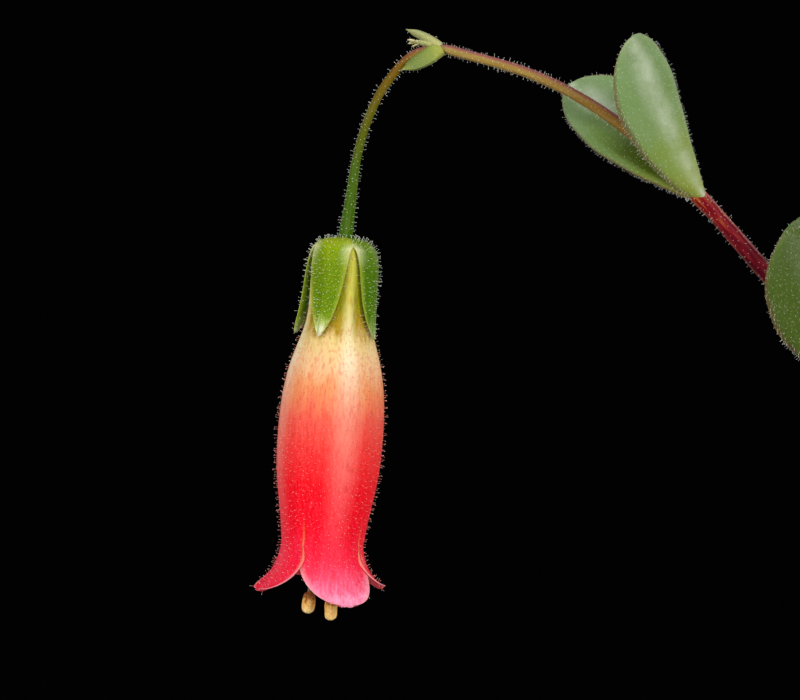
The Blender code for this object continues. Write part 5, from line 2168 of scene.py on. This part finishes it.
@dataclass(frozen=True)
class PottingSoil:
    """A crowned bed of peaty potting soil with bits of bark and perlite."""

    pot: ClayPot
    sides: int = 150
    rings: int = 46
    clod_size: float = 6 * MM
    crumb_size: float = 1.6 * MM
    crumbs: int = 1500
    bark: int = 420
    perlite: int = 110

    def height(self, x: float, y: float) -> float:
        """Give the surface's height, which is crumbly and sinks a little at the wall.

        Args:
            x: The place's x.
            y: Its y.

        Returns:
            The height there.
        """
        share = hypot(x, y) / self.pot.inner_radius(SOIL_EDGE_Z)
        smooth = SOIL_CROWN_Z - (SOIL_CROWN_Z - SOIL_EDGE_Z) * share ** 2
        clod = noise.noise(Vector((x, y, 0.0)) / self.clod_size) * 0.9 * MM
        crumb = noise.noise(Vector((x, y, 0.1)) / self.crumb_size) * 0.55 * MM
        return smooth + (clod + crumb) * min(1.0, (1.02 - share) * 9)

    def bed(self, finish: Material) -> None:
        """Fill the pot.

        Args:
            finish: Its material.
        """
        low = POT_FLOOR + GAP
        wide = self.pot.inner_radius(SOIL_EDGE_Z) - GAP
        profile = [(0.0, low), (self.pot.inner_radius(low) - GAP, low), (wide, SOIL_EDGE_Z)]
        profile += [(wide * (1 - (i + 1) / self.rings), SOIL_EDGE_Z) for i in range(self.rings)]
        bm = turned(profile, self.sides)
        for vert in bm.verts:
            if vert.co.z > SOIL_EDGE_Z - 1e-6:
                vert.co.z = self.height(vert.co.x, vert.co.y)
        mesh = mesh_from(bm, "soil_bed")
        mesh.shade_smooth()
        piece(add_object("soil_bed", mesh, (finish,)), "potting_soil", "soil")

    def scattered(self, name: str, count: int, size: tuple[float, float], flatness: float, seed: int,
                  fine: int, finish: Material) -> None:
        """Scatter bits over the bed.

        Args:
            name: The piece's name.
            count: How many bits.
            size: The smallest and the largest radius.
            flatness: Their height for each width.
            seed: Seed of their places and turns.
            fine: Subdivisions of each bit.
            finish: Their material.
        """
        rng = np.random.default_rng(seed)
        reach = (self.pot.inner_radius(SOIL_EDGE_Z) - 2.5 * MM) * np.sqrt(rng.random(count))
        turn = rng.random(count) * 2 * pi
        x, y = reach * np.cos(turn), reach * np.sin(turn)
        z = [self.height(float(a), float(b)) for a, b in zip(x, y)]
        places = np.stack((x, y, np.array(z)), axis=1)
        axes = np.empty((count, 3, 3))
        for index in range(count):
            radius = size[0] * (size[1] / size[0]) ** rng.random()
            squash = Matrix.Diagonal((radius, radius * rng.uniform(0.5, 0.9), radius * flatness))
            tilt = Euler((rng.uniform(-0.6, 0.6), rng.uniform(-0.6, 0.6), rng.uniform(0, 6.28)))
            axes[index] = np.array(squash @ tilt.to_matrix().transposed())
        bm = bmesh.new()
        ops.create_icosphere(bm, subdivisions=fine, radius=1.0)
        mesh = tiled(name, template_arrays(bm), axes, places, 0.28, seed)
        piece(add_object(name, mesh, (finish,)), "potting_soil")

    def build(self, palette: Palette) -> None:
        """Lay the bed and its bits.

        Args:
            palette: The materials.
        """
        self.bed(palette.soil)
        self.scattered("soil_crumbs", self.crumbs, (0.35 * MM, 1.1 * MM), 0.7, 5, 1, palette.soil)
        self.scattered("soil_bark", self.bark, (0.6 * MM, 2.0 * MM), 0.35, 6, 1, palette.bark)
        self.scattered("soil_perlite", self.perlite, (0.5 * MM, 1.3 * MM), 0.75, 7, 2, palette.perlite)


@dataclass(frozen=True)
class Studio:
    """A pale round table top in a dark room, soft lights and the photograph's camera."""

    floor_radius: float = 0.95

    # What the lamps point at
    MIDDLE = Vector((-0.03, 0.0, 0.13))
    # Name, place, side and power in watts of each lamp, and its colour
    LAMPS = (
        ("key", (-0.1, -1.0, 0.62), 0.45, 4.3, "#fff8f0"),
        ("key_left", (-0.85, -0.7, 0.45), 0.5, 5.6, "#fff8f0"),
        ("key_right", (0.6, -0.85, 0.4), 0.5, 7.6, "#fff8f0"),
        ("rim_left", (-0.7, 0.5, 0.35), 0.4, 0.8, "#ffffff"),
        ("rim_right", (0.6, 0.6, 0.45), 0.5, 2.6, "#fff8f0"),
        ("top", (-0.05, 0.1, 1.0), 0.6, 2.0, "#ffffff"),
    )

    def build(self) -> None:
        """Set up the floor, the lamps, the dark room and the camera."""
        bm = bmesh.new()
        ops.create_circle(bm, cap_ends=True, segments=128, radius=self.floor_radius)
        floor = add_object("table_top", mesh_from(bm, "table_top"), (FloorFinish().build(),))
        if floor.data.polygons[0].normal.z < 0:
            floor.data.flip_normals()
        floor.data.transform(Matrix.Translation((0.0, 0.0, -0.02 * MM)))
        for name, place, side, power, colour in self.LAMPS:
            data = bpy.data.lights.new(name, "AREA")
            data.shape = "SQUARE"
            data.size = side
            data.energy = power
            data.color = linear(colour)[:3]
            lamp = add_object(name, data)
            lamp.location = place
            lamp.rotation_euler = (self.MIDDLE - Vector(place)).to_track_quat("-Z", "Y").to_euler()
            lamp.visible_camera = False
        world = bpy.data.worlds.new("dark_room")
        world.use_nodes = True
        world.node_tree.nodes["Background"].inputs["Color"].default_value = (0.0006, 0.0006, 0.0008, 1)
        bpy.context.scene.world = world
        bpy.context.scene.view_settings.view_transform = "Standard"
        data = bpy.data.cameras.new("photo_camera")
        data.lens = 200
        data.sensor_width = 36
        data.clip_start = 0.01
        camera = add_object("photo_camera", data)
        rise = radians(PHOTO_ELEVATION)
        camera.location = PHOTO_AIM + Vector((0, -cos(rise), sin(rise))) * PHOTO_DISTANCE
        camera.rotation_euler = (pi / 2 - rise, 0, 0)
        bpy.context.scene.camera = camera


def main(frame: dict[str, Any]) -> None:
    """Dress the whole part.

    Args:
        frame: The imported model.
    """
    logging.basicConfig(level=logging.INFO, format="%(message)s")
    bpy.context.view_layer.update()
    log.info("%d solids to dress", len(frame["nodes"]))
    Studio().build()
    palette = Palette()
    Plant(palette).build()
    pot = ClayPot()
    pot.build(palette.terracotta)
    PottingSoil(pot).build(palette)


if __name__ == "__main__":
    main(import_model())
